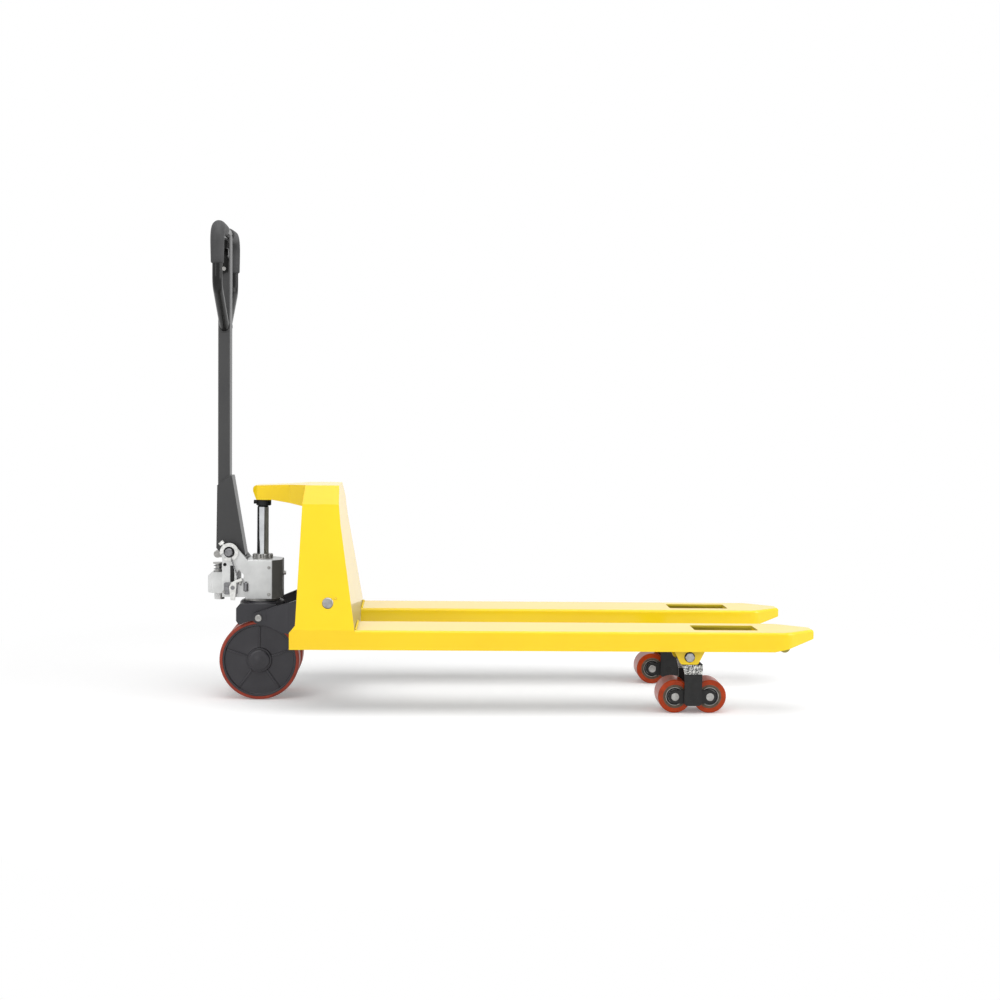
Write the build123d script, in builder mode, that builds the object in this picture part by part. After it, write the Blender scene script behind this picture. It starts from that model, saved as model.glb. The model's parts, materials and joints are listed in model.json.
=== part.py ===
from build123d import *
import os
from math import asin, atan2, cos, degrees, hypot, radians, sin, sqrt

# Hand pallet jack, forks raised and handle upright, in millimetres.
# +X runs along the forks to their tips, +Y to the operator's left, +Z up.
# The origin is on the floor, midway along the jack and midway between the forks.
# All X values below are measured from the steering axis.

os.makedirs("parts", exist_ok=True)

# ---- overall sizes -------------------------------------------------------
OVERALL_WIDTH = 550.0
FORK_WIDTH = 160.0
FORK_DEPTH = 47.5
RAISED_HEIGHT = 206.0
LOWERED_HEIGHT = 85.0
FORK_TIP_X = 1372.0
HOUSING_REACH = 137.0
SHEET = 5.0
RUN = 0.05
SEAT = 0.3

# ---- wheels and rollers --------------------------------------------------
STEER_WHEEL_R = 100.0
STEER_WHEEL_WIDTH = 50.0
STEER_WHEEL_INNER_Y = 32.0
TYRE_THICKNESS = 8.0
AXLE_R = 12.5
LOAD_ROLLER_R = 41.0
LOAD_ROLLER_WIDTH = 70.0
ROLLER_PITCH = 86.0
ROLLER_AXLE_R = 8.5
TREAD_THICKNESS = 12.0

# ---- fork blades ---------------------------------------------------------
NOSE_LENGTH = 75.0
NOSE_TIP_HALF = 20.0
NOSE_RISE_LENGTH = 108.0
NOSE_TIP_DEPTH = 23.0
FORK_EDGE_R = 7.0
SLOT_START_X = 1073.0
SLOT_LENGTH = 157.0
SLOT_WIDTH = 80.0
ENTRY_ROLLER_R = 14.0
ENTRY_ROLLER_WIDTH = 56.0
ENTRY_ROLLER_BACK = 72.0
ENTRY_ROLLER_DROP = 43.0

# ---- mast ----------------------------------------------------------------
HEEL_X = 90.0
MAST_TOP_Z = 541.0
MAST_TOP_HALF = 75.0
SHOULDER_Z = MAST_TOP_Z - 41
SHOULDER_HALF = 165.0
BACKREST_FOOT_X = 246.0
BACKREST_KNEE_X = 206.0
BACKREST_KNEE_Z = 455.0
BACKREST_TOP_X = 197.0
MAST_REAR_FOOT_X = 104.0
MAST_REAR_TOP_X = 113.0
NOSE_REACH_X = -23.5
ARM_BOTTOM_Z = MAST_TOP_Z - 41
CUP_R = 19.0
CUP_BOTTOM_Z = ARM_BOTTOM_Z - 16
NOSE_DIP = 5.0

# ---- rocker and lifting linkage -----------------------------------------
ROCKER_PIN_X = 180.5
ROCKER_PIN_Z = 268.0
ROCKER_PIN_R = 13.3
ROCKER_TUBE_R = 22.0
ROCKER_TUBE_HALF = OVERALL_WIDTH / 2 - 44
ROCKER_BORE_Y = OVERALL_WIDTH / 2 - 125
TRUNNION_Z = 209.5
TRUNNION_PIN_R = 7.0
TRUNNION_HEAD_R = 8.5
CHEEK_INNER_Y = 92.0
CHEEK_THICKNESS = 10.0
CHEEK_END_R = 15.0
LEVER_R = 86.0
LEVER_THICKNESS = 8.0
ROD_EYE_THICKNESS = 16.0
ROD_PIN_R = 7.0
ROD_R = 9.5

# ---- roller arms ---------------------------------------------------------
ARM_PIVOT_X = 1059.0
ARM_PIVOT_Z = 142.0
ARM_PIVOT_R = 8.0
BOGIE_LEAD = 12.3
LINK_THICKNESS = 6.0
ARM_PLATE_THICKNESS = 6.0
LUG_THICKNESS = 8.0
SIDE_PLAY = 1.0
LUG_TOP_HALF = 42.0
LUG_KNEE_HALF = 37.0
LUG_FOOT_HALF = 21.0
LUG_DROP = 18.0
LUG_CORNER_R = 7.0
NUT_R = 11.5
NUT_HEIGHT = 7.0
BOGIE_PIN_R = 9.0

# ---- pump and handle -----------------------------------------------------
STEM_R = 30.0
DRUM_R = 57.0
DRUM_BOTTOM_Z = 202.0
PUMP_BOTTOM_Z = 251.0
SWIVEL_TOP_Z = PUMP_BOTTOM_Z - 7
SKIRT_THICKNESS = 7.0
PUMP_TOP_Z = 349.0
PUMP_HALF_Y = 50.0
PISTON_R = 15.0
PISTON_FOOT_Z = 245.0
GLAND_R = 26.0
GLAND_TOP_Z = 361.0
EAR_THICKNESS = 10.0
SHAFT_X = -79.0
SHAFT_Z = 369.0
SHAFT_R = 10.0
PLUNGER_X = -112.0
PLUNGER_R = 8.0
PLUNGER_STROKE = 16.0
HANDLE_SWING = 80.0
TUBE_WIDTH_X = 30.0
TUBE_WIDTH_Y = 50.0
TUBE_X = -96.0
LEVER_PIN_R = 5.0
BRACKET_THICKNESS = 6.0
LOOP_R = 12.0
LOOP_HALF = 165.0
LOOP_TOP_Z = 1171.0
TUBE_TOP_Z = LOOP_TOP_Z - 75
LEVER_PIVOT_Z = TUBE_TOP_Z - 18
GRIP_R = 16.0

# ---- worked-out places ---------------------------------------------------
X_STEER = -(FORK_TIP_X - HOUSING_REACH) / 2
OUTER = OVERALL_WIDTH / 2
FORK_Y = OUTER - FORK_WIDTH / 2
FORK_BOTTOM_Z = RAISED_HEIGHT - FORK_DEPTH
LIFT = RAISED_HEIGHT - LOWERED_HEIGHT
ROCKER_RISE = ROCKER_PIN_Z - TRUNNION_Z
ROCKER_LENGTH = hypot(ROCKER_PIN_X, ROCKER_RISE)
ROCKER_UP = degrees(asin(ROCKER_RISE / ROCKER_LENGTH))
ROCKER_DOWN = degrees(asin((LIFT - ROCKER_RISE) / ROCKER_LENGTH))
ROCKER_SWING = ROCKER_UP + ROCKER_DOWN
ROD_REAR_X = ROCKER_PIN_X + LEVER_R * sin(radians(ROCKER_UP))
ROD_REAR_Z = ROCKER_PIN_Z - LEVER_R * cos(radians(ROCKER_UP))
ROD_TRAVEL = LEVER_R * (sin(radians(ROCKER_UP)) + sin(radians(ROCKER_DOWN)))
BOGIE_X = ARM_PIVOT_X + BOGIE_LEAD
BOGIE_Z = LOAD_ROLLER_R
ARM_LENGTH = hypot(BOGIE_LEAD, ARM_PIVOT_Z - BOGIE_Z)
ARM_UP = degrees(atan2(ARM_PIVOT_Z - BOGIE_Z, BOGIE_LEAD))
ARM_DOWN = degrees(asin((BOGIE_Z + LIFT - ARM_PIVOT_Z) / ARM_LENGTH))
ARM_SWING = ARM_UP + ARM_DOWN
TOGGLE_R = ROD_TRAVEL / (2 * sin(radians(ARM_SWING / 2)))
TOGGLE_X = ARM_PIVOT_X + TOGGLE_R * sin(radians(ARM_SWING / 2))
TOGGLE_Z = ARM_PIVOT_Z + TOGGLE_R * cos(radians(ARM_SWING / 2))
AXLE_Z = STEER_WHEEL_R
WHEEL_OUTER_Y = STEER_WHEEL_INNER_Y + STEER_WHEEL_WIDTH
LINK_Y = LOAD_ROLLER_WIDTH / 2 + SIDE_PLAY
ARM_PLATE_Y = LINK_Y + LINK_THICKNESS + SIDE_PLAY
LUG_Y = ARM_PLATE_Y + ARM_PLATE_THICKNESS + SIDE_PLAY
EAR_INNER_Y = PUMP_HALF_Y - EAR_THICKNESS
BRACKET_OUTER_Y = TUBE_WIDTH_Y / 2 + BRACKET_THICKNESS


# ---- drawing planes: X from the steering axis, heights from the floor -----
def side(y):
    """Seen from the right: sketch x is X, sketch y is Z, extrudes towards -Y."""
    return Plane(origin=(X_STEER, y, 0), x_dir=(1, 0, 0), z_dir=(0, -1, 0))


def level(z):
    """Seen from above: sketch x is X, sketch y is Y, extrudes upwards."""
    return Plane(origin=(X_STEER, 0, z), x_dir=(1, 0, 0), z_dir=(0, 0, 1))


def across(x):
    """Seen from the front: sketch x is Y, sketch y is Z, extrudes towards +X."""
    return Plane(origin=(X_STEER + x, 0, 0), x_dir=(0, 1, 0), z_dir=(1, 0, 0))


def save(piece, name):
    piece.part.label = name
    export_step(piece.part, f"parts/{name}.step")


def other_side(piece):
    """The same piece for the right-hand side."""
    with BuildPart() as twin:
        mirror(piece.part, about=Plane.XZ)
    return twin


def both_sides(piece):
    """One node holding the left and the right copy."""
    with BuildPart() as pair:
        add(piece.part)
        mirror(piece.part, about=Plane.XZ)
    return pair


def disc(x, z, radius, y_low, y_high, mode=Mode.ADD):
    """A round bar along Y between two Y values."""
    with BuildSketch(side(y_high)) as round_face:
        with Locations((x, z)):
            Circle(radius)
    extrude(round_face.sketch, amount=y_high - y_low, mode=mode)


# ======================= CHASSIS ==========================================
def fork_plan(inset, start_x):
    """Plan outline of the left blade, drawn smaller by inset."""
    half = FORK_WIDTH / 2
    outline = Polygon(
        (start_x, FORK_Y - half),
        (FORK_TIP_X - NOSE_LENGTH, FORK_Y - half),
        (FORK_TIP_X, FORK_Y - NOSE_TIP_HALF),
        (FORK_TIP_X, FORK_Y + NOSE_TIP_HALF),
        (FORK_TIP_X - NOSE_LENGTH, FORK_Y + half),
        (start_x, FORK_Y + half),
        align=None,
    )
    corners = outline.vertices().group_by(Axis.X)
    fillet(corners[-2], NOSE_LENGTH / 2)
    fillet(corners[-1], NOSE_TIP_HALF - 4)
    if inset > 0:
        offset(amount=-inset, kind=Kind.INTERSECTION)


with BuildPart() as fork_left:
    with BuildSketch(level(FORK_BOTTOM_Z)):
        fork_plan(0, BACKREST_FOOT_X)
    extrude(amount=FORK_DEPTH)
    top_edges = fork_left.faces().sort_by(Axis.Z)[-1].edges().sort_by(Axis.X)[1:]
    fillet(top_edges, FORK_EDGE_R)
    with BuildSketch(level(FORK_BOTTOM_Z)):
        fork_plan(SHEET, BACKREST_FOOT_X - 2 * SHEET)
    extrude(amount=FORK_DEPTH - SHEET, mode=Mode.SUBTRACT)
    # the underside climbs to the tip
    with BuildSketch(side(OUTER + 1)):
        Polygon(
            (FORK_TIP_X - NOSE_RISE_LENGTH, FORK_BOTTOM_Z),
            (FORK_TIP_X + 1, RAISED_HEIGHT - NOSE_TIP_DEPTH),
            (FORK_TIP_X + 1, FORK_BOTTOM_Z),
            align=None,
        )
    extrude(amount=FORK_WIDTH + 2, mode=Mode.SUBTRACT)
    with BuildSketch(level(RAISED_HEIGHT - 2 * SHEET)):
        with Locations((SLOT_START_X + SLOT_LENGTH / 2, FORK_Y)):
            RectangleRounded(SLOT_LENGTH, SLOT_WIDTH, SHEET)
    extrude(amount=3 * SHEET, mode=Mode.SUBTRACT)
    # ears under the nose that carry the entry roller
    for ear_y in (ENTRY_ROLLER_WIDTH / 2 + SIDE_PLAY, -ENTRY_ROLLER_WIDTH / 2 - SIDE_PLAY - SHEET):
        with BuildSketch(side(FORK_Y + ear_y + SHEET)):
            Polygon(
                (FORK_TIP_X - ENTRY_ROLLER_BACK - 20, RAISED_HEIGHT - SHEET),
                (FORK_TIP_X - ENTRY_ROLLER_BACK - 9, RAISED_HEIGHT - ENTRY_ROLLER_DROP - 5),
                (FORK_TIP_X - ENTRY_ROLLER_BACK + 9, RAISED_HEIGHT - ENTRY_ROLLER_DROP - 5),
                (FORK_TIP_X - ENTRY_ROLLER_BACK + 20, RAISED_HEIGHT - SHEET),
                align=None,
            )
        extrude(amount=SHEET)
    disc(FORK_TIP_X - ENTRY_ROLLER_BACK, RAISED_HEIGHT - ENTRY_ROLLER_DROP, 4 + RUN,
         FORK_Y - FORK_WIDTH / 2 + 2 * SHEET, FORK_Y + FORK_WIDTH / 2 - 2 * SHEET, Mode.SUBTRACT)
save(fork_left, "fork_left")
save(other_side(fork_left), "fork_right")

with BuildPart() as entry_axles:
    disc(FORK_TIP_X - ENTRY_ROLLER_BACK, RAISED_HEIGHT - ENTRY_ROLLER_DROP, 4,
         FORK_Y - ENTRY_ROLLER_WIDTH / 2 - SIDE_PLAY - SHEET - 2,
         FORK_Y + ENTRY_ROLLER_WIDTH / 2 + SIDE_PLAY + SHEET + 2)
save(both_sides(entry_axles), "entry_roller_axles")

with BuildPart() as entry_roller:
    with BuildSketch(side(FORK_Y + ENTRY_ROLLER_WIDTH / 2)):
        with Locations((FORK_TIP_X - ENTRY_ROLLER_BACK, RAISED_HEIGHT - ENTRY_ROLLER_DROP)):
            Circle(ENTRY_ROLLER_R)
            Circle(4 + RUN, mode=Mode.SUBTRACT)
    extrude(amount=ENTRY_ROLLER_WIDTH)
    fillet(entry_roller.edges().filter_by(GeomType.CIRCLE).group_by(SortBy.RADIUS)[-1], 3)
save(entry_roller, "entry_roller_left")
save(other_side(entry_roller), "entry_roller_right")


def mast_front(inset):
    """Front outline of the mast sheets, drawn smaller by inset and open at the bottom."""
    foot_z = FORK_BOTTOM_Z - inset
    Polygon(
        (-OUTER, foot_z),
        (-OUTER, RAISED_HEIGHT),
        (-SHOULDER_HALF, SHOULDER_Z),
        (-MAST_TOP_HALF, MAST_TOP_Z),
        (MAST_TOP_HALF, MAST_TOP_Z),
        (SHOULDER_HALF, SHOULDER_Z),
        (OUTER, RAISED_HEIGHT),
        (OUTER, foot_z),
        align=None,
    )
    if inset > 0:
        offset(amount=-inset, kind=Kind.INTERSECTION)


def mast_side(front_inset):
    """Side outline of the mast, with its front line moved back by front_inset."""
    Polygon(
        (HEEL_X, FORK_BOTTOM_Z),
        (HEEL_X, RAISED_HEIGHT - 7),
        (MAST_REAR_FOOT_X, RAISED_HEIGHT + 10),
        (MAST_REAR_TOP_X, MAST_TOP_Z),
        (BACKREST_TOP_X - front_inset, MAST_TOP_Z),
        (BACKREST_KNEE_X - front_inset, BACKREST_KNEE_Z),
        (BACKREST_FOOT_X - front_inset, RAISED_HEIGHT),
        (BACKREST_FOOT_X - front_inset, FORK_BOTTOM_Z),
        align=None,
    )


with BuildPart() as mast_shell:
    with BuildSketch(across(HEEL_X)):
        mast_front(0)
    extrude(amount=BACKREST_FOOT_X - HEEL_X)
    with BuildSketch(across(HEEL_X)):
        mast_front(SHEET)
    extrude(amount=BACKREST_FOOT_X - HEEL_X, mode=Mode.SUBTRACT)
    with BuildSketch(side(OUTER)):
        mast_side(0)
    extrude(amount=OVERALL_WIDTH, mode=Mode.INTERSECT)

with BuildPart() as side_plate_left:
    add(mast_shell.part)
    with BuildSketch(level(0)):
        with Locations((HEEL_X, MAST_TOP_HALF)):
            Rectangle(OUTER, OUTER, align=(Align.MIN, Align.MIN))
    extrude(amount=MAST_TOP_Z + SHEET, mode=Mode.INTERSECT)
    # rear flange that closes the heel
    with BuildSketch(across(HEEL_X)):
        with Locations((OUTER - SHEET, FORK_BOTTOM_Z)):
            Rectangle(30, FORK_DEPTH - 8, align=(Align.MAX, Align.MIN))
    extrude(amount=SHEET)
    disc(ROCKER_PIN_X, ROCKER_PIN_Z, ROCKER_PIN_R, MAST_TOP_HALF, OUTER, Mode.SUBTRACT)
save(side_plate_left, "side_plate_left")
save(other_side(side_plate_left), "side_plate_right")

with BuildPart() as top_plate:
    add(mast_shell.part)
    with BuildSketch(level(0)):
        with Locations((HEEL_X, 0)):
            Rectangle(OUTER, 2 * MAST_TOP_HALF, align=(Align.MIN, Align.CENTER))
    extrude(amount=MAST_TOP_Z + SHEET, mode=Mode.INTERSECT)
    # the backrest sheet closes the front edge
    with BuildSketch(side(OUTER)):
        mast_side(SHEET)
    extrude(amount=OVERALL_WIDTH, mode=Mode.INTERSECT)
save(top_plate, "top_plate")

with BuildPart() as backrest:
    with BuildSketch(side(OUTER)):
        mast_side(0)
    extrude(amount=OVERALL_WIDTH)
    with BuildSketch(side(OUTER)):
        Polygon(
            (HEEL_X - 1, FORK_BOTTOM_Z - 1),
            (HEEL_X - 1, MAST_TOP_Z + 1),
            (BACKREST_TOP_X - SHEET, MAST_TOP_Z + 1),
            (BACKREST_TOP_X - SHEET, MAST_TOP_Z),
            (BACKREST_KNEE_X - SHEET, BACKREST_KNEE_Z),
            (BACKREST_FOOT_X - SHEET, RAISED_HEIGHT),
            (BACKREST_FOOT_X - SHEET, FORK_BOTTOM_Z - 1),
            align=None,
        )
    extrude(amount=OVERALL_WIDTH, mode=Mode.SUBTRACT)
    with BuildSketch(across(HEEL_X)):
        mast_front(SHEET)
        with Locations((0, MAST_TOP_Z)):
            Rectangle(2 * MAST_TOP_HALF, 2 * SHEET, align=(Align.CENTER, Align.MAX))
    extrude(amount=BACKREST_FOOT_X - HEEL_X, mode=Mode.INTERSECT)
    # open below the fork tops where the push rods pass
    with BuildSketch(across(BACKREST_FOOT_X - 2 * SHEET)):
        with Locations((FORK_Y, RAISED_HEIGHT - SHEET), (-FORK_Y, RAISED_HEIGHT - SHEET)):
            Rectangle(FORK_WIDTH, FORK_DEPTH, align=(Align.CENTER, Align.MAX))
    extrude(amount=3 * SHEET, mode=Mode.SUBTRACT)
save(backrest, "backrest_sheet")


def arm_profile(inset):
    outline = Polygon(
        (NOSE_REACH_X, MAST_TOP_Z - 20),
        (NOSE_REACH_X, MAST_TOP_Z - NOSE_DIP),
        (MAST_REAR_TOP_X - SEAT, MAST_TOP_Z),
        (MAST_REAR_TOP_X - SEAT, MAST_TOP_Z - SHEET),
        (BACKREST_TOP_X - SHEET, MAST_TOP_Z - SHEET),
        (BACKREST_TOP_X - SHEET, ARM_BOTTOM_Z - 30),
        (MAST_REAR_TOP_X, ARM_BOTTOM_Z - 14),
        (CUP_R + 8, ARM_BOTTOM_Z),
        (NOSE_REACH_X + 9, ARM_BOTTOM_Z),
        align=None,
    )
    fillet(outline.vertices().group_by(Axis.X)[0].sort_by(Axis.Y)[-1], 10)
    if inset > 0:
        offset(amount=-inset, kind=Kind.INTERSECTION)


def arm_plan(inset):
    Polygon(
        (NOSE_REACH_X, -18),
        (NOSE_REACH_X + 12, -28),
        (70, -34),
        (MAST_REAR_TOP_X, -MAST_TOP_HALF + SHEET),
        (BACKREST_TOP_X, -MAST_TOP_HALF + SHEET),
        (BACKREST_TOP_X, MAST_TOP_HALF - SHEET),
        (MAST_REAR_TOP_X, MAST_TOP_HALF - SHEET),
        (70, 34),
        (NOSE_REACH_X + 12, 28),
        (NOSE_REACH_X, 18),
        align=None,
    )
    if inset > 0:
        offset(amount=-inset, kind=Kind.INTERSECTION)


with BuildPart() as lift_arm:
    with BuildSketch(side(MAST_TOP_HALF)):
        arm_profile(0)
    extrude(amount=2 * MAST_TOP_HALF)
    with BuildSketch(level(CUP_BOTTOM_Z - 60)):
        arm_plan(0)
    extrude(amount=150, mode=Mode.INTERSECT)
    with BuildSketch(level(CUP_BOTTOM_Z - 60)):
        arm_plan(SHEET + 3)
        with Locations((CUP_R + 12, 0)):
            Rectangle(100, OVERALL_WIDTH, align=(Align.MAX, Align.CENTER), mode=Mode.SUBTRACT)
    extrude(amount=MAST_TOP_Z - CUP_BOTTOM_Z + 60 - 2 * SHEET - 3, mode=Mode.SUBTRACT)
save(lift_arm, "lift_arm")

with BuildPart() as head_cup:
    with BuildSketch(level(CUP_BOTTOM_Z)):
        with Locations((2, 0)):
            Circle(CUP_R)
    extrude(amount=ARM_BOTTOM_Z - CUP_BOTTOM_Z)
    fillet(head_cup.faces().sort_by(Axis.Z)[0].edges(), 3)
    # grub screw that keeps the seat on the piston
    with BuildSketch(across(2 - CUP_R - 6)):
        with Locations((0, (CUP_BOTTOM_Z + ARM_BOTTOM_Z) / 2 + 1)):
            RegularPolygon(5.5, 6)
    extrude(amount=8)
save(head_cup, "piston_seat")

with BuildPart() as rocker_pin:
    disc(ROCKER_PIN_X, ROCKER_PIN_Z, ROCKER_PIN_R, ROCKER_BORE_Y, OUTER - 21)
    chamfer(rocker_pin.faces().sort_by(Axis.Y)[-1].edges(), 1.5)
save(both_sides(rocker_pin), "rocker_pins")

with BuildPart() as lugs:
    for lug_low in (FORK_Y + LUG_Y, FORK_Y - LUG_Y - LUG_THICKNESS):
        with BuildSketch(side(lug_low + LUG_THICKNESS)):
            face = Polygon(
                (ARM_PIVOT_X - LUG_TOP_HALF, RAISED_HEIGHT - SHEET),
                (ARM_PIVOT_X - LUG_KNEE_HALF, FORK_BOTTOM_Z - 3),
                (ARM_PIVOT_X - LUG_FOOT_HALF, ARM_PIVOT_Z - LUG_DROP),
                (ARM_PIVOT_X + LUG_FOOT_HALF, ARM_PIVOT_Z - LUG_DROP),
                (ARM_PIVOT_X + LUG_KNEE_HALF, FORK_BOTTOM_Z - 3),
                (ARM_PIVOT_X + LUG_TOP_HALF, RAISED_HEIGHT - SHEET),
                align=None,
            )
            fillet(face.vertices().group_by(Axis.Y)[0], LUG_CORNER_R)
            with Locations((ARM_PIVOT_X, ARM_PIVOT_Z)):
                Circle(ARM_PIVOT_R, mode=Mode.SUBTRACT)
        extrude(amount=LUG_THICKNESS)
save(both_sides(lugs), "arm_lugs")

with BuildPart() as arm_pivot:
    disc(ARM_PIVOT_X, ARM_PIVOT_Z, ARM_PIVOT_R, FORK_Y - LUG_Y - LUG_THICKNESS, FORK_Y + LUG_Y + LUG_THICKNESS)
    for face_y, out in ((FORK_Y + LUG_Y + LUG_THICKNESS, NUT_HEIGHT), (FORK_Y - LUG_Y - LUG_THICKNESS, -NUT_HEIGHT)):
        with BuildSketch(side(max(face_y, face_y + out))):
            with Locations((ARM_PIVOT_X, ARM_PIVOT_Z)):
                RegularPolygon(NUT_R, 6)
        extrude(amount=abs(out))
save(both_sides(arm_pivot), "arm_pivot_bolts")

# ======================= ROCKER ===========================================
SWEEP_R = hypot(WHEEL_OUTER_Y, STEER_WHEEL_R) + 2
FLARE_START_X = 18.0
FLARE_KNEE_X = 75.0
FLARE_END_Y = ROCKER_BORE_Y
FLARE_KNEE_Y = (CHEEK_INNER_Y + FLARE_END_Y) / 2 + 4
# where the steering wheels stand, seen from the rocker, when the forks are down
DROP_TURN = radians(ROCKER_SWING)
WHEEL_DROP_X = (TRUNNION_Z - AXLE_Z) * sin(DROP_TURN)
WHEEL_DROP_Z = TRUNNION_Z - (TRUNNION_Z - AXLE_Z) * cos(DROP_TURN)


def cheek_plan():
    """Plan of the left cheek: straight beside the swivel, then flaring out to the tube."""
    Polygon(
        (-CHEEK_END_R - 5, CHEEK_INNER_Y),
        (FLARE_START_X, CHEEK_INNER_Y),
        (FLARE_KNEE_X, FLARE_KNEE_Y),
        (ROCKER_PIN_X, FLARE_END_Y),
        (ROCKER_PIN_X, FLARE_END_Y + CHEEK_THICKNESS),
        (FLARE_KNEE_X, FLARE_KNEE_Y + CHEEK_THICKNESS),
        (FLARE_START_X, CHEEK_INNER_Y + CHEEK_THICKNESS),
        (-CHEEK_END_R - 5, CHEEK_INNER_Y + CHEEK_THICKNESS),
        align=None,
    )


with BuildPart() as cheek:
    with BuildSketch(side(FLARE_END_Y + CHEEK_THICKNESS)):
        Polygon(
            (0, TRUNNION_Z + CHEEK_END_R),
            (ROCKER_PIN_X, ROCKER_PIN_Z + ROCKER_TUBE_R),
            (ROCKER_PIN_X, ROCKER_PIN_Z - ROCKER_TUBE_R - 21),
            (FLARE_KNEE_X + 15, TRUNNION_Z - CHEEK_END_R - 22),
            (FLARE_KNEE_X - 15, TRUNNION_Z - CHEEK_END_R - 18),
            (FLARE_START_X + 2, TRUNNION_Z - CHEEK_END_R - 4),
            (0, TRUNNION_Z - CHEEK_END_R),
            align=None,
        )
        with Locations((0, TRUNNION_Z)):
            Circle(CHEEK_END_R)
    extrude(amount=FLARE_END_Y + CHEEK_THICKNESS - CHEEK_INNER_Y)
    with BuildSketch(level(0)):
        cheek_plan()
    extrude(amount=SHOULDER_Z, mode=Mode.INTERSECT)
    # hollowed so that the steered wheels turn below with the forks up and down
    for wheel_x, wheel_z in ((0, AXLE_Z), (WHEEL_DROP_X, WHEEL_DROP_Z)):
        with Locations((X_STEER + wheel_x, 0, wheel_z)):
            Sphere(SWEEP_R, mode=Mode.SUBTRACT)

with BuildPart() as rocker:
    add(cheek.part)
    mirror(cheek.part, about=Plane.XZ)
    disc(ROCKER_PIN_X, ROCKER_PIN_Z, ROCKER_TUBE_R, -ROCKER_TUBE_HALF, ROCKER_TUBE_HALF)
    # twin levers that push the rods
    for fork_y in (FORK_Y, -FORK_Y):
        for lever_y in (ROD_EYE_THICKNESS / 2 + SEAT, -ROD_EYE_THICKNESS / 2 - SEAT - LEVER_THICKNESS):
            with BuildSketch(side(fork_y + lever_y + LEVER_THICKNESS)):
                with Locations((ROCKER_PIN_X, ROCKER_PIN_Z)):
                    Circle(ROCKER_TUBE_R)
                with Locations((ROD_REAR_X, ROD_REAR_Z)):
                    Circle(ROD_PIN_R + 6)
                make_hull()
                with Locations((ROD_REAR_X, ROD_REAR_Z)):
                    Circle(ROD_PIN_R, mode=Mode.SUBTRACT)
            extrude(amount=LEVER_THICKNESS)
    # gusset between the cheeks, in front of the wheels' path
    rocker_slope = Plane(
        origin=(X_STEER + ROCKER_PIN_X, 0, ROCKER_PIN_Z),
        x_dir=(cos(radians(ROCKER_UP)), 0, sin(radians(ROCKER_UP))),
        z_dir=(-sin(radians(ROCKER_UP)), 0, cos(radians(ROCKER_UP))),
    )
    with BuildSketch(rocker_slope):
        with Locations((-ROCKER_TUBE_R + 2, 0)):
            Rectangle(42, 2 * (FLARE_END_Y - 12), align=(Align.MAX, Align.CENTER))
    extrude(amount=4, both=True)
    bore_depth = ROCKER_TUBE_HALF - ROCKER_BORE_Y + 2
    for end_y in (-ROCKER_TUBE_HALF - 1, ROCKER_BORE_Y - 1):
        disc(ROCKER_PIN_X, ROCKER_PIN_Z, ROCKER_PIN_R + RUN, end_y, end_y + bore_depth, Mode.SUBTRACT)
    disc(0, TRUNNION_Z, TRUNNION_PIN_R + RUN, -OUTER, OUTER, Mode.SUBTRACT)
save(rocker, "rocker_frame")

with BuildPart() as rod_pins:
    pin_half = ROD_EYE_THICKNESS / 2 + SEAT + LEVER_THICKNESS
    disc(ROD_REAR_X, ROD_REAR_Z, ROD_PIN_R, FORK_Y - pin_half, FORK_Y + pin_half)
save(both_sides(rod_pins), "rod_pins")

# ======================= PUSH RODS ========================================
SADDLE_REACH = 16.0
SADDLE_SLOT_R = ROD_PIN_R + 1.5
ROD_DROP = ROD_REAR_Z - TOGGLE_Z
BLADE_LENGTH = 125.0
NECK_LENGTH = 20.0
ROD_BLADE_THICKNESS = 12.0
ROD_SLOPE = ROD_DROP / (TOGGLE_X - ROD_REAR_X)


def rod_z(x):
    """Height of the rod's centre line."""
    return ROD_REAR_Z - (x - ROD_REAR_X) * ROD_SLOPE


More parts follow.
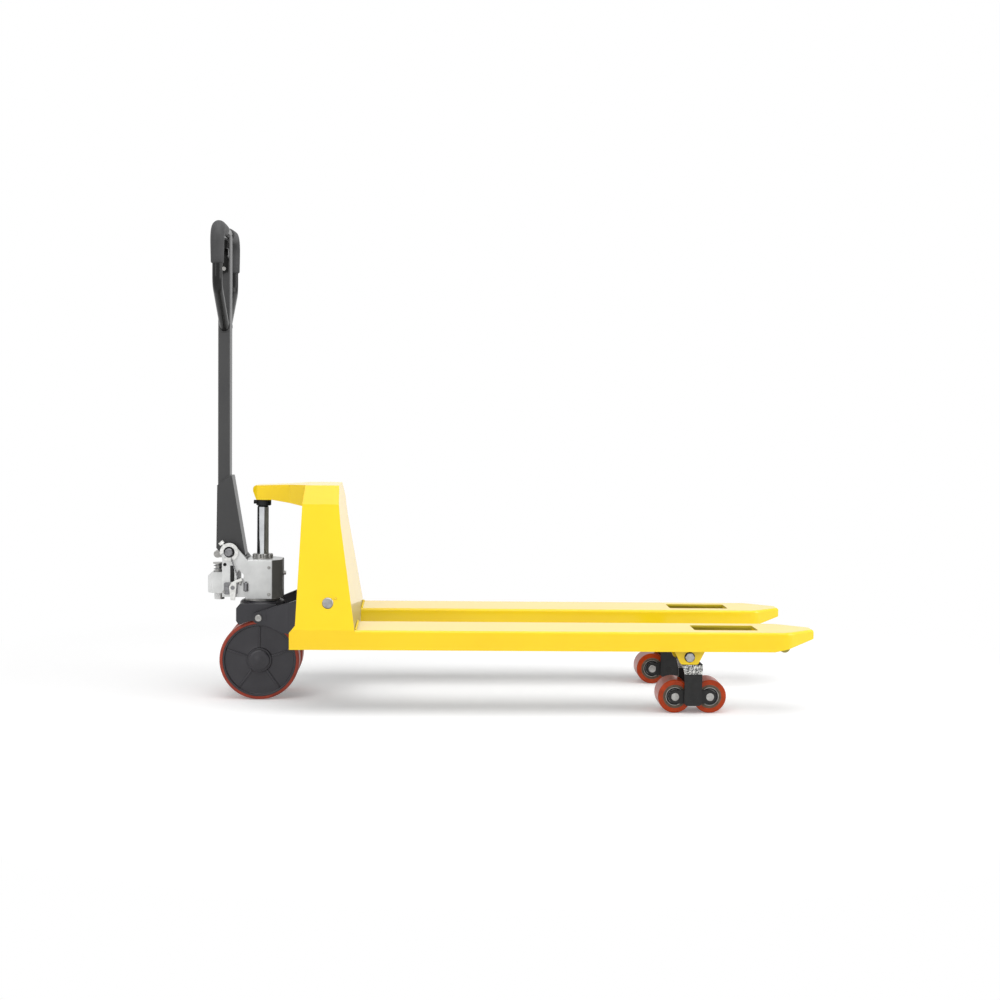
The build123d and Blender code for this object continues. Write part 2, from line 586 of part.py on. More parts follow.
with BuildPart() as push_rod:
    blade_x = TOGGLE_X - BLADE_LENGTH
    blade_end_x = TOGGLE_X - SADDLE_SLOT_R - 5
    neck_start = (X_STEER + ROD_REAR_X + ROD_PIN_R + 2, FORK_Y, rod_z(ROD_REAR_X + ROD_PIN_R + 2))
    rod_start = (X_STEER + ROD_REAR_X + NECK_LENGTH, FORK_Y, rod_z(ROD_REAR_X + NECK_LENGTH))
    rod_end = (X_STEER + blade_x + 20, FORK_Y, rod_z(blade_x + 20))
    rod_line = Vector(*rod_end) - Vector(*rod_start)
    with BuildSketch(Plane(origin=neck_start, z_dir=rod_line)):
        Circle(ROD_EYE_THICKNESS / 2 - 0.5)
    extrude(amount=NECK_LENGTH)
    with BuildSketch(Plane(origin=rod_start, z_dir=rod_line)):
        Circle(ROD_R)
    extrude(amount=rod_line.length)
    disc(ROD_REAR_X, ROD_REAR_Z, ROD_PIN_R + 6, FORK_Y - ROD_EYE_THICKNESS / 2, FORK_Y + ROD_EYE_THICKNESS / 2)
    # flat blade that runs over the roller arm's pivot
    with BuildSketch(side(FORK_Y + ROD_BLADE_THICKNESS / 2)):
        Polygon(
            (blade_x, rod_z(blade_x) - 6),
            (blade_end_x, rod_z(blade_end_x) - 5),
            (blade_end_x, rod_z(blade_end_x) + 17),
            (blade_x, rod_z(blade_x) + 13),
            align=None,
        )
        # saddle that straddles the toggle pin, open below
        with Locations((TOGGLE_X, TOGGLE_Z + SADDLE_REACH)):
            Circle(SADDLE_SLOT_R + 5)
        with Locations((TOGGLE_X, TOGGLE_Z - 2)):
            Rectangle(2 * SADDLE_SLOT_R + 10, SADDLE_REACH + 2, align=(Align.CENTER, Align.MIN))
        with Locations((TOGGLE_X, TOGGLE_Z + SADDLE_REACH)):
            Circle(SADDLE_SLOT_R, mode=Mode.SUBTRACT)
        with Locations((TOGGLE_X, TOGGLE_Z - 3)):
            Rectangle(2 * SADDLE_SLOT_R, SADDLE_REACH + 3, align=(Align.CENTER, Align.MIN), mode=Mode.SUBTRACT)
    extrude(amount=ROD_BLADE_THICKNESS)
    disc(ROD_REAR_X, ROD_REAR_Z, ROD_PIN_R + RUN, 0, OUTER, Mode.SUBTRACT)
save(push_rod, "push_rod_left")
save(other_side(push_rod), "push_rod_right")

# ======================= ROLLER ARMS ======================================
ARM_BOSS_R = 13.0
ARM_TOP_HALF = 25.5
ARM_LOW_HALF = 21.5

with BuildPart() as roller_arm:
    for plate_low in (FORK_Y + ARM_PLATE_Y, FORK_Y - ARM_PLATE_Y - ARM_PLATE_THICKNESS):
        with BuildSketch(side(plate_low + ARM_PLATE_THICKNESS)):
            plate = Polygon(
                (ARM_PIVOT_X - ARM_BOSS_R, ARM_PIVOT_Z),
                (ARM_PIVOT_X - 15, ARM_PIVOT_Z - 20),
                (BOGIE_X - ARM_LOW_HALF, ARM_PIVOT_Z - 45),
                (BOGIE_X - ARM_LOW_HALF, BOGIE_Z - 21),
                (BOGIE_X + ARM_LOW_HALF, BOGIE_Z - 21),
                (BOGIE_X + ARM_LOW_HALF, ARM_PIVOT_Z - 45),
                (ARM_PIVOT_X + 35, ARM_PIVOT_Z - 20),
                (ARM_PIVOT_X + ARM_BOSS_R, ARM_PIVOT_Z),
                align=None,
            )
            fillet(plate.vertices().group_by(Axis.Y)[0], 9)
            with Locations((ARM_PIVOT_X, ARM_PIVOT_Z)):
                Circle(ARM_BOSS_R)
        extrude(amount=ARM_PLATE_THICKNESS)
    disc(ARM_PIVOT_X, ARM_PIVOT_Z, ARM_BOSS_R, FORK_Y - ARM_PLATE_Y, FORK_Y + ARM_PLATE_Y)
    # twin toggle plates and their pin
    for toggle_low in (ROD_BLADE_THICKNESS / 2 + SIDE_PLAY, -ROD_BLADE_THICKNESS / 2 - SIDE_PLAY - LINK_THICKNESS):
        with BuildSketch(side(FORK_Y + toggle_low + LINK_THICKNESS)):
            with Locations((ARM_PIVOT_X, ARM_PIVOT_Z)):
                Circle(ARM_BOSS_R)
            with Locations((TOGGLE_X, TOGGLE_Z)):
                Circle(ROD_PIN_R + 4)
            make_hull()
        extrude(amount=LINK_THICKNESS)
    toggle_half = ROD_BLADE_THICKNESS / 2 + SIDE_PLAY + LINK_THICKNESS
    disc(TOGGLE_X, TOGGLE_Z, ROD_PIN_R, FORK_Y - toggle_half, FORK_Y + toggle_half)
    disc(ARM_PIVOT_X, ARM_PIVOT_Z, ARM_PIVOT_R + RUN, 0, OUTER, Mode.SUBTRACT)
    disc(BOGIE_X, BOGIE_Z, BOGIE_PIN_R + RUN, 0, OUTER, Mode.SUBTRACT)
save(roller_arm, "roller_arm_left")
save(other_side(roller_arm), "roller_arm_right")

# two stub pins, one each side, so that the rollers pass between them
with BuildPart() as bogie_pins:
    pin_reach = ARM_PLATE_Y + ARM_PLATE_THICKNESS
    disc(BOGIE_X, BOGIE_Z, BOGIE_PIN_R, FORK_Y + LINK_Y, FORK_Y + pin_reach)
    disc(BOGIE_X, BOGIE_Z, BOGIE_PIN_R, FORK_Y - pin_reach, FORK_Y - LINK_Y)
save(bogie_pins, "bogie_pins_left")
save(other_side(bogie_pins), "bogie_pins_right")

with BuildPart() as bogie:
    for link_low in (FORK_Y + LINK_Y, FORK_Y - LINK_Y - LINK_THICKNESS):
        with BuildSketch(side(link_low + LINK_THICKNESS)):
            with Locations((BOGIE_X, BOGIE_Z)):
                SlotCenterToCenter(ROLLER_PITCH, 33)
                Circle(BOGIE_PIN_R + RUN, mode=Mode.SUBTRACT)
        extrude(amount=LINK_THICKNESS)
    # roller axles riveted into the links
    axle_reach = LINK_Y + LINK_THICKNESS + 0.5
    for axle_x in (BOGIE_X - ROLLER_PITCH / 2, BOGIE_X + ROLLER_PITCH / 2):
        disc(axle_x, BOGIE_Z, ROLLER_AXLE_R, FORK_Y - axle_reach, FORK_Y + axle_reach)
save(bogie, "bogie_links_left")
save(other_side(bogie), "bogie_links_right")

for place, roller_x in (("rear", BOGIE_X - ROLLER_PITCH / 2), ("front", BOGIE_X + ROLLER_PITCH / 2)):
    half = LOAD_ROLLER_WIDTH / 2
    core_r = LOAD_ROLLER_R - TREAD_THICKNESS
    with BuildPart() as tread:
        with BuildSketch(side(FORK_Y + half)):
            with Locations((roller_x, BOGIE_Z)):
                Circle(LOAD_ROLLER_R)
        extrude(amount=LOAD_ROLLER_WIDTH)
        fillet(tread.edges().filter_by(GeomType.CIRCLE), 3)
        disc(roller_x, BOGIE_Z, core_r, FORK_Y - half, FORK_Y + half, Mode.SUBTRACT)
    with BuildPart() as core:
        disc(roller_x, BOGIE_Z, core_r, FORK_Y - half, FORK_Y + half)
        for recess_y in (FORK_Y + half - 4, FORK_Y - half):
            disc(roller_x, BOGIE_Z, core_r - 3, recess_y, recess_y + 4, Mode.SUBTRACT)
        # bearing inner rings stand out to the links
        disc(roller_x, BOGIE_Z, ROLLER_AXLE_R + 5, FORK_Y - half, FORK_Y + half)
        disc(roller_x, BOGIE_Z, ROLLER_AXLE_R + RUN, 0, OUTER, Mode.SUBTRACT)
    save(tread, f"{place}_roller_tread_left")
    save(other_side(tread), f"{place}_roller_tread_right")
    save(core, f"{place}_roller_core_left")
    save(other_side(core), f"{place}_roller_core_right")

# ======================= STEERING WHEELS ==================================
HUB_R = STEER_WHEEL_R - TYRE_THICKNESS
HUB_BOSS_R = 31.0
RIM_THICKNESS = 8.0
WEB_THICKNESS = 14.0
RIB_COUNT = 5

with BuildPart() as tyre:
    with BuildSketch(side(WHEEL_OUTER_Y)):
        with Locations((0, AXLE_Z)):
            Circle(STEER_WHEEL_R)
    extrude(amount=STEER_WHEEL_WIDTH)
    fillet(tyre.edges().filter_by(GeomType.CIRCLE), 5)
    disc(0, AXLE_Z, HUB_R, STEER_WHEEL_INNER_Y, WHEEL_OUTER_Y, Mode.SUBTRACT)
save(tyre, "steer_tyre_left")
save(other_side(tyre), "steer_tyre_right")

with BuildPart() as hub:
    disc(0, AXLE_Z, HUB_R, STEER_WHEEL_INNER_Y, WHEEL_OUTER_Y)
    dish = (STEER_WHEEL_WIDTH - WEB_THICKNESS) / 2
    for dish_y in (STEER_WHEEL_INNER_Y, WHEEL_OUTER_Y - dish):
        disc(0, AXLE_Z, HUB_R - RIM_THICKNESS, dish_y, dish_y + dish, Mode.SUBTRACT)
    disc(0, AXLE_Z, HUB_BOSS_R, STEER_WHEEL_INNER_Y, WHEEL_OUTER_Y)
    for rib in range(RIB_COUNT):
        angle = 90 + rib * 360 / RIB_COUNT
        with BuildSketch(side(WHEEL_OUTER_Y - 3)):
            with Locations(Location((0, AXLE_Z), angle)):
                with Locations((HUB_BOSS_R - 3, 0)):
                    Rectangle(HUB_R - RIM_THICKNESS - HUB_BOSS_R + 5, 10, align=(Align.MIN, Align.CENTER))
        extrude(amount=STEER_WHEEL_WIDTH - 6)
    disc(0, AXLE_Z, AXLE_R + RUN, 0, OUTER, Mode.SUBTRACT)
save(hub, "steer_hub_left")
save(other_side(hub), "steer_hub_right")

with BuildPart() as axle:
    disc(0, AXLE_Z, AXLE_R, -WHEEL_OUTER_Y - 1, WHEEL_OUTER_Y + 1)
    for clip_y in (-WHEEL_OUTER_Y - 4, WHEEL_OUTER_Y + 1):
        disc(0, AXLE_Z, AXLE_R + 6, clip_y, clip_y + 3)
save(axle, "steer_axle")

# ======================= SWIVEL ===========================================
with BuildPart() as swivel:
    with BuildSketch(level(DRUM_BOTTOM_Z)):
        Circle(DRUM_R)
    extrude(amount=SWIVEL_TOP_Z - DRUM_BOTTOM_Z)
    fillet(swivel.faces().sort_by(Axis.Z)[-1].edges(), 10)
    with BuildSketch(level(DRUM_BOTTOM_Z)):
        Rectangle(2 * CHEEK_END_R, 2 * (CHEEK_INNER_Y - SIDE_PLAY))
    extrude(amount=TRUNNION_Z + CHEEK_END_R - DRUM_BOTTOM_Z)
    # cheeks of the casting, just inside the rocker
    for skirt_y in (CHEEK_INNER_Y - SIDE_PLAY, -CHEEK_INNER_Y + SIDE_PLAY + SKIRT_THICKNESS):
        with BuildSketch(side(skirt_y)):
            Polygon(
                (-DRUM_R, DRUM_BOTTOM_Z - 2),
                (-DRUM_R, SWIVEL_TOP_Z - 12),
                (-DRUM_R + 9, SWIVEL_TOP_Z - 1),
                (40, SWIVEL_TOP_Z - 1),
                (48, SWIVEL_TOP_Z - 12),
                (48, DRUM_BOTTOM_Z + 8),
                (20, DRUM_BOTTOM_Z),
                (-25, DRUM_BOTTOM_Z - 2),
                (-50, DRUM_BOTTOM_Z - 12),
                align=None,
            )
        extrude(amount=SKIRT_THICKNESS)
    # webs from the drum out to the cheeks
    with BuildSketch(level(SWIVEL_TOP_Z - 14)):
        Rectangle(76, 2 * (CHEEK_INNER_Y - SIDE_PLAY - 1))
    extrude(amount=8)
    with BuildSketch(level(DRUM_BOTTOM_Z - 1)):
        Circle(STEM_R + RUN)
    extrude(amount=PUMP_BOTTOM_Z - DRUM_BOTTOM_Z + 2, mode=Mode.SUBTRACT)
    for bore_y in (CHEEK_INNER_Y - 16, -CHEEK_INNER_Y):
        disc(0, TRUNNION_Z, TRUNNION_PIN_R, bore_y, bore_y + 16, Mode.SUBTRACT)
save(swivel, "swivel_base")

with BuildPart() as trunnion_bolt:
    bolt_tip = CHEEK_INNER_Y - 16
    bolt_face = CHEEK_INNER_Y + CHEEK_THICKNESS + SEAT
    disc(0, TRUNNION_Z, TRUNNION_PIN_R, bolt_tip, bolt_face)
    disc(0, TRUNNION_Z, TRUNNION_HEAD_R, bolt_face, bolt_face + 5)
    chamfer(trunnion_bolt.faces().sort_by(Axis.Y)[-1].edges(), 1)
save(both_sides(trunnion_bolt), "trunnion_bolts")

with BuildPart() as bearing:
    with BuildSketch(level(SWIVEL_TOP_Z)):
        Circle(44)
        Circle(STEM_R + 1, mode=Mode.SUBTRACT)
    extrude(amount=PUMP_BOTTOM_Z - SWIVEL_TOP_Z)
    with BuildSketch(level(SWIVEL_TOP_Z + 2.5)):
        Circle(45)
        Circle(42, mode=Mode.SUBTRACT)
    extrude(amount=2, mode=Mode.SUBTRACT)
save(bearing, "thrust_bearing")

# ======================= PUMP =============================================
PUMP_NOSE_X = 52.0
PUMP_NOSE_HALF = 26.0
PUMP_CORNER_X = 28.0
PUMP_REAR_X = -38.0
EAR_REAR_X = -97.0
EAR_R = 22.0
CRADLE_Z = 318.0
HOUSING_TOP_Z = CRADLE_Z - 3
SPRING_WELL_Z = 298.0
LOCK_HOLE_R = 4.5
LINK_SLOT_DEPTH = 5.0
WINDOW_X = PUMP_REAR_X - 22
WINDOW_Z = CRADLE_Z - 27

with BuildPart() as pump:
    with BuildSketch(level(PUMP_BOTTOM_Z)):
        Polygon(
            (PUMP_REAR_X, -PUMP_HALF_Y),
            (PUMP_CORNER_X, -PUMP_HALF_Y),
            (PUMP_NOSE_X, -PUMP_NOSE_HALF),
            (PUMP_NOSE_X, PUMP_NOSE_HALF),
            (PUMP_CORNER_X, PUMP_HALF_Y),
            (PUMP_REAR_X, PUMP_HALF_Y),
            align=None,
        )
    extrude(amount=PUMP_TOP_Z - PUMP_BOTTOM_Z)
    fillet(pump.edges().filter_by(Axis.Z), 5)
    fillet(pump.faces().sort_by(Axis.Z)[-1].edges(), 3)
    # ears that carry the handle shaft
    for ear_y in (PUMP_HALF_Y, -EAR_INNER_Y):
        with BuildSketch(side(ear_y)):
            Polygon(
                (EAR_REAR_X, PUMP_BOTTOM_Z + 4),
                (EAR_REAR_X, SHAFT_Z),
                (SHAFT_X, SHAFT_Z),
                (SHAFT_X + EAR_R - 5, SHAFT_Z + EAR_R - 8),
                (PUMP_REAR_X + 4, PUMP_TOP_Z),
                (PUMP_REAR_X + 8, PUMP_BOTTOM_Z + 4),
                align=None,
            )
            with Locations((SHAFT_X, SHAFT_Z)):
                Circle(EAR_R)
        extrude(amount=EAR_THICKNESS)
    # body behind the cylinder, below the handle's cradle
    with BuildSketch(side(PUMP_HALF_Y)):
        with Locations((EAR_REAR_X, PUMP_BOTTOM_Z + 4)):
            Rectangle(PUMP_REAR_X - EAR_REAR_X + 5, CRADLE_Z - PUMP_BOTTOM_Z - 4, align=(Align.MIN, Align.MIN))
    extrude(amount=2 * PUMP_HALF_Y)
    # five-sided window right through, where the release linkage hangs
    with BuildSketch(side(PUMP_HALF_Y + 1)):
        Polygon(
            (WINDOW_X, WINDOW_Z),
            (WINDOW_X, WINDOW_Z + 25),
            (WINDOW_X + 5, WINDOW_Z + 33),
            (WINDOW_X + 17, WINDOW_Z + 21),
            (WINDOW_X + 17, WINDOW_Z),
            align=None,
        )
    extrude(amount=2 * PUMP_HALF_Y + 2, mode=Mode.SUBTRACT)
    # lock screw hole and linkage slot in the right-hand ear
    disc(EAR_REAR_X + 7, CRADLE_Z + 19, LOCK_HOLE_R, -PUMP_HALF_Y, -EAR_INNER_Y, Mode.SUBTRACT)
    with BuildSketch(side(-PUMP_HALF_Y + LINK_SLOT_DEPTH)):
        with Locations((EAR_REAR_X + 26, CRADLE_Z - 12)):
            RectangleRounded(10, 26, 2)
    extrude(amount=LINK_SLOT_DEPTH, mode=Mode.SUBTRACT)
    # stem down through the swivel to the wheel axle
    with BuildSketch(level(AXLE_Z - AXLE_R - 14)):
        Circle(STEM_R)
    extrude(amount=PUMP_BOTTOM_Z - AXLE_Z + AXLE_R + 15)
    disc(0, AXLE_Z, AXLE_R, -OUTER, OUTER, Mode.SUBTRACT)
    disc(SHAFT_X, SHAFT_Z, SHAFT_R, -OUTER, OUTER, Mode.SUBTRACT)
    # cylinder bore for the piston
    with BuildSketch(level(PISTON_FOOT_Z - LIFT - 2)):
        Circle(PISTON_R + RUN)
    extrude(amount=PUMP_TOP_Z, mode=Mode.SUBTRACT)
save(pump, "pump_body")

with BuildPart() as gland:
    with BuildSketch(level(PUMP_TOP_Z)):
        Circle(GLAND_R)
    extrude(amount=GLAND_TOP_Z - PUMP_TOP_Z)
    chamfer(gland.faces().sort_by(Axis.Z)[-1].edges(), 2)
    with BuildSketch(level(PUMP_TOP_Z + 3)):
        with PolarLocations(GLAND_R, 8):
            Circle(5)
    extrude(amount=GLAND_TOP_Z, mode=Mode.SUBTRACT)
    with BuildSketch(level(PUMP_TOP_Z - 1)):
        Circle(PISTON_R + RUN)
    extrude(amount=GLAND_TOP_Z, mode=Mode.SUBTRACT)
save(gland, "gland_nut")

with BuildPart() as piston:
    with BuildSketch(level(PISTON_FOOT_Z)):
        Circle(PISTON_R)
    extrude(amount=CUP_BOTTOM_Z - SEAT - PISTON_FOOT_Z)
    chamfer(piston.faces().sort_by(Axis.Z)[-1].edges(), 3)
save(piston, "lift_piston")

with BuildPart() as fill_plug:
    with BuildSketch(across(PUMP_NOSE_X)):
        with Locations((0, 312)):
            Circle(7)
    extrude(amount=2.5)
    with BuildSketch(across(PUMP_NOSE_X + 2.5)):
        with Locations((0, 312)):
            RegularPolygon(5.5, 6)
    extrude(amount=4.5)
save(fill_plug, "fill_plug")

with BuildPart() as housing:
    with BuildSketch(level(PUMP_BOTTOM_Z + 11)):
        Polygon((EAR_REAR_X, -28), (EAR_REAR_X, 28), (-125, 28), (-HOUSING_REACH, 14),
                (-HOUSING_REACH, -14), (-125, -28), align=None)
    extrude(amount=HOUSING_TOP_Z - PUMP_BOTTOM_Z - 11)
    with BuildSketch(side(PUMP_HALF_Y)):
        Polygon(
            (-HOUSING_REACH, PUMP_BOTTOM_Z + 11),
            (-HOUSING_REACH, HOUSING_TOP_Z - 10),
            (-126, HOUSING_TOP_Z),
            (EAR_REAR_X, HOUSING_TOP_Z),
            (EAR_REAR_X, PUMP_BOTTOM_Z + 11),
            align=None,
        )
    extrude(amount=2 * PUMP_HALF_Y, mode=Mode.INTERSECT)
    with BuildSketch(level(SWIVEL_TOP_Z)):
        with Locations((EAR_REAR_X - 13, 0)):
            Circle(13)
    extrude(amount=20)
    with BuildSketch(level(PUMP_BOTTOM_Z)):
        with Locations((PLUNGER_X, 0)):
            Circle(PLUNGER_R + RUN)
    extrude(amount=80, mode=Mode.SUBTRACT)
    with BuildSketch(level(SPRING_WELL_Z)):
        with Locations((PLUNGER_X, 0)):
            Circle(PLUNGER_R + 5.3)
    extrude(amount=80, mode=Mode.SUBTRACT)
save(housing, "plunger_housing")

# ---- places of the release linkage ---------------------------------------
RELEASE_X = -69.0
RELEASE_Z = 280.0
RELEASE_PIN_R = 5.0
RELEASE_Y = -PUMP_HALF_Y - 8.3
CHAIN_R = 1.4
CHAIN_END_X = -54.0
CHAIN_END_Z = 300.0
chain_top = Vector(X_STEER + SHAFT_X, RELEASE_Y, SHAFT_Z)
chain_end = Vector(X_STEER + CHAIN_END_X, RELEASE_Y, CHAIN_END_Z)
chain_dir = (chain_top - chain_end).normalized()

# ---- handle shaft and its fittings ---------------------------------------
with BuildPart() as shaft:
    disc(SHAFT_X, SHAFT_Z, SHAFT_R, -PUMP_HALF_Y - 14, PUMP_HALF_Y + 7)
    # hole that the release chain runs up into
    with BuildSketch(Plane(origin=chain_top - chain_dir * SHAFT_R, z_dir=chain_dir)):
        Circle(CHAIN_R + 0.6)
    extrude(amount=SHAFT_R, mode=Mode.SUBTRACT)
    chamfer(shaft.faces().sort_by(Axis.Y)[0].edges(), 1.5)
    chamfer(shaft.faces().sort_by(Axis.Y)[-1].edges(), 1.5)
save(shaft, "handle_shaft")

with BuildPart() as retainers:
    with BuildSketch(side(-PUMP_HALF_Y)):
        with Locations((SHAFT_X, SHAFT_Z)):
            Circle(EAR_R + 1)
            Circle(EAR_R - 8, mode=Mode.SUBTRACT)
        with Locations(Location((SHAFT_X, SHAFT_Z), 215)):
            Rectangle(40, 14, align=(Align.MIN, Align.CENTER), mode=Mode.SUBTRACT)
    extrude(amount=5)
    knob_dir = Vector(-1, 0, 1.1).normalized()
    knob_start = Vector(X_STEER + SHAFT_X, -PUMP_HALF_Y + EAR_THICKNESS / 2, SHAFT_Z) + knob_dir * EAR_R
    with BuildSketch(Plane(origin=knob_start, z_dir=knob_dir)):
        Circle(2.5)
    extrude(amount=8)
    with BuildSketch(Plane(origin=knob_start + knob_dir * 4, z_dir=knob_dir)):
        Circle(7)
    extrude(amount=8)
save(retainers, "shaft_ring_and_knob")

# ---- release linkage -----------------------------------------------------
with BuildPart() as release_bracket:
    with BuildSketch(side(-PUMP_HALF_Y)):
        with Locations((RELEASE_X - 6, RELEASE_Z - 3)):
            RectangleRounded(34, 30, 4)
    extrude(amount=4)
    with BuildSketch(side(-PUMP_HALF_Y - 4)):
        with Locations((RELEASE_X - 16, RELEASE_Z - 3)):
            RegularPolygon(6.5, 6)
    extrude(amount=4)
    disc(RELEASE_X, RELEASE_Z, RELEASE_PIN_R, RELEASE_Y - 7, -PUMP_HALF_Y)
save(release_bracket, "release_bracket")

with BuildPart() as release_lever:
    with BuildSketch(side(RELEASE_Y + 4)):
        Polygon(
            (RELEASE_X - 9, RELEASE_Z),
            (RELEASE_X - 4, RELEASE_Z + 12),
            (CHAIN_END_X - 8, CHAIN_END_Z - 1),
            (CHAIN_END_X + 7, CHAIN_END_Z + 4.5),
            (CHAIN_END_X + 9, CHAIN_END_Z - 2),
            (CHAIN_END_X - 6, CHAIN_END_Z - 7.5),
            (RELEASE_X + 9, RELEASE_Z + 2),
            (RELEASE_X + 5, RELEASE_Z - 32),
            (RELEASE_X - 5, RELEASE_Z - 32),
            align=None,
        )
        with Locations((RELEASE_X, RELEASE_Z)):
            Circle(9)
    extrude(amount=8)
    disc(RELEASE_X, RELEASE_Z, RELEASE_PIN_R + RUN, -OUTER, OUTER, Mode.SUBTRACT)
    # forked end round the chain, lifted by the nut below it
    with BuildSketch(side(RELEASE_Y + CHAIN_R + 0.6)):
        with Locations((CHAIN_END_X - 5, CHAIN_END_Z - 10)):
            Rectangle(20, 20, align=(Align.MIN, Align.MIN))
    extrude(amount=2 * CHAIN_R + 1.2, mode=Mode.SUBTRACT)
save(release_lever, "release_lever")

with BuildPart() as chain:
    with BuildSketch(Plane(origin=chain_end - chain_dir * 13, z_dir=chain_dir)):
        Circle(CHAIN_R)
    extrude(amount=(chain_top - chain_end).length + 13 - SHAFT_R + 3)
    with BuildSketch(Plane(origin=chain_end - chain_dir * 11.3, z_dir=chain_dir)):
        RegularPolygon(4.5, 6)
    extrude(amount=5)
save(chain, "release_chain")

# ---- pump plunger and spring --------------------------------------------
PLUNGER_CAP_Z = 337.5
with BuildPart() as plunger:
    with BuildSketch(level(CRADLE_Z - 45)):
        with Locations((PLUNGER_X, 0)):
            Circle(PLUNGER_R)
    extrude(amount=PLUNGER_CAP_Z - CRADLE_Z + 45)
    with BuildSketch(level(PLUNGER_CAP_Z - 3)):
        with Locations((PLUNGER_X, 0)):
            Circle(PLUNGER_R + 6)
    extrude(amount=3)
save(plunger, "pump_plunger")

SPRING_WIRE_R = 1.3
SPRING_R = PLUNGER_R + 3.2
with BuildPart() as spring:
    spring_low = SPRING_WELL_Z + SPRING_WIRE_R + 0.1
    spring_high = PLUNGER_CAP_Z - 3 - SPRING_WIRE_R - 0.1
    with BuildLine() as coil:
        Helix(pitch=(spring_high - spring_low) / 4, height=spring_high - spring_low, radius=SPRING_R,
              center=(X_STEER + PLUNGER_X, 0, spring_low))
    with BuildSketch(Plane(origin=coil.line @ 0, z_dir=coil.line % 0)):
        Circle(SPRING_WIRE_R)
    sweep()
save(spring, "plunger_spring")

# ======================= HANDLE ===========================================
BRACKET_TOP_Z = 560.0
ROLLER_ARM_R = 36.0
ROLLER_DIP = radians(15)
PRESS_ROLLER_R = 9.5
PRESS_PIN_R = 4.0
YOKE_OUTER_Y = 20.0
YOKE_THICKNESS = 6.0
PRESS_X = SHAFT_X - ROLLER_ARM_R * cos(ROLLER_DIP)
PRESS_Z = SHAFT_Z - ROLLER_ARM_R * sin(ROLLER_DIP)
BRACKET_REAR_X = -114.0
BRACKET_TOE_X = SHAFT_X + 38


def bracket_outline():
    Polygon(
        (BRACKET_REAR_X, SHAFT_Z + 8),
        (BRACKET_REAR_X + 2, BRACKET_TOP_Z - 27),
        (TUBE_X - 8, BRACKET_TOP_Z - 20),
        (TUBE_X + TUBE_WIDTH_X / 2, BRACKET_TOP_Z),
        (TUBE_X + TUBE_WIDTH_X / 2 + BRACKET_THICKNESS, BRACKET_TOP_Z),
        (BRACKET_TOE_X, PUMP_TOP_Z + 10),
        (BRACKET_TOE_X - 3, PUMP_TOP_Z + 4),
        (SHAFT_X + 12, SHAFT_Z - 20),
        (SHAFT_X - 10, SHAFT_Z - 20),
        align=None,
    )


with BuildPart() as bracket:
    for plate_y in (BRACKET_OUTER_Y, -TUBE_WIDTH_Y / 2):
        with BuildSketch(side(plate_y)):
            bracket_outline()
        extrude(amount=BRACKET_THICKNESS)
    # front flange folded between the two plates
    with BuildSketch(side(TUBE_WIDTH_Y / 2)):
        Polygon(
            (TUBE_X + TUBE_WIDTH_X / 2, BRACKET_TOP_Z),
            (TUBE_X + TUBE_WIDTH_X / 2 + BRACKET_THICKNESS, BRACKET_TOP_Z),
            (BRACKET_TOE_X, PUMP_TOP_Z + 10),
            (BRACKET_TOE_X - BRACKET_THICKNESS, PUMP_TOP_Z + 10),
            align=None,
        )
    extrude(amount=TUBE_WIDTH_Y)
    # bosses that fill the space to the pump's ears
    for boss_y in (BRACKET_OUTER_Y, -EAR_INNER_Y + SEAT):
        disc(SHAFT_X, SHAFT_Z, SHAFT_R + 6, boss_y, boss_y + EAR_INNER_Y - SEAT - BRACKET_OUTER_Y)
    disc(SHAFT_X, SHAFT_Z, SHAFT_R + 6, -TUBE_WIDTH_Y / 2, TUBE_WIDTH_Y / 2)
    disc(SHAFT_X, SHAFT_Z, SHAFT_R + RUN, -OUTER, OUTER, Mode.SUBTRACT)
save(bracket, "handle_bracket")

with BuildPart() as yoke:
    for lug_y in (YOKE_OUTER_Y, -YOKE_OUTER_Y + YOKE_THICKNESS):
        with BuildSketch(side(lug_y)):
            with Locations((SHAFT_X, SHAFT_Z)):
                Circle(SHAFT_R + 6)
            with Locations((PRESS_X, PRESS_Z)):
                Circle(PRESS_ROLLER_R - 1.5)
            make_hull()
        extrude(amount=YOKE_THICKNESS)
    disc(SHAFT_X, SHAFT_Z, SHAFT_R + 6, -OUTER, OUTER, Mode.SUBTRACT)
    disc(PRESS_X, PRESS_Z, PRESS_PIN_R, -YOKE_OUTER_Y - 1, YOKE_OUTER_Y + 1)
save(yoke, "pressure_roller_yoke")

with BuildPart() as press_roller:
    disc(PRESS_X, PRESS_Z, PRESS_ROLLER_R, -12, 12)
    fillet(press_roller.edges().filter_by(GeomType.CIRCLE), 1.5)
    disc(PRESS_X, PRESS_Z, PRESS_PIN_R + RUN, -OUTER, OUTER, Mode.SUBTRACT)
save(press_roller, "pressure_roller")

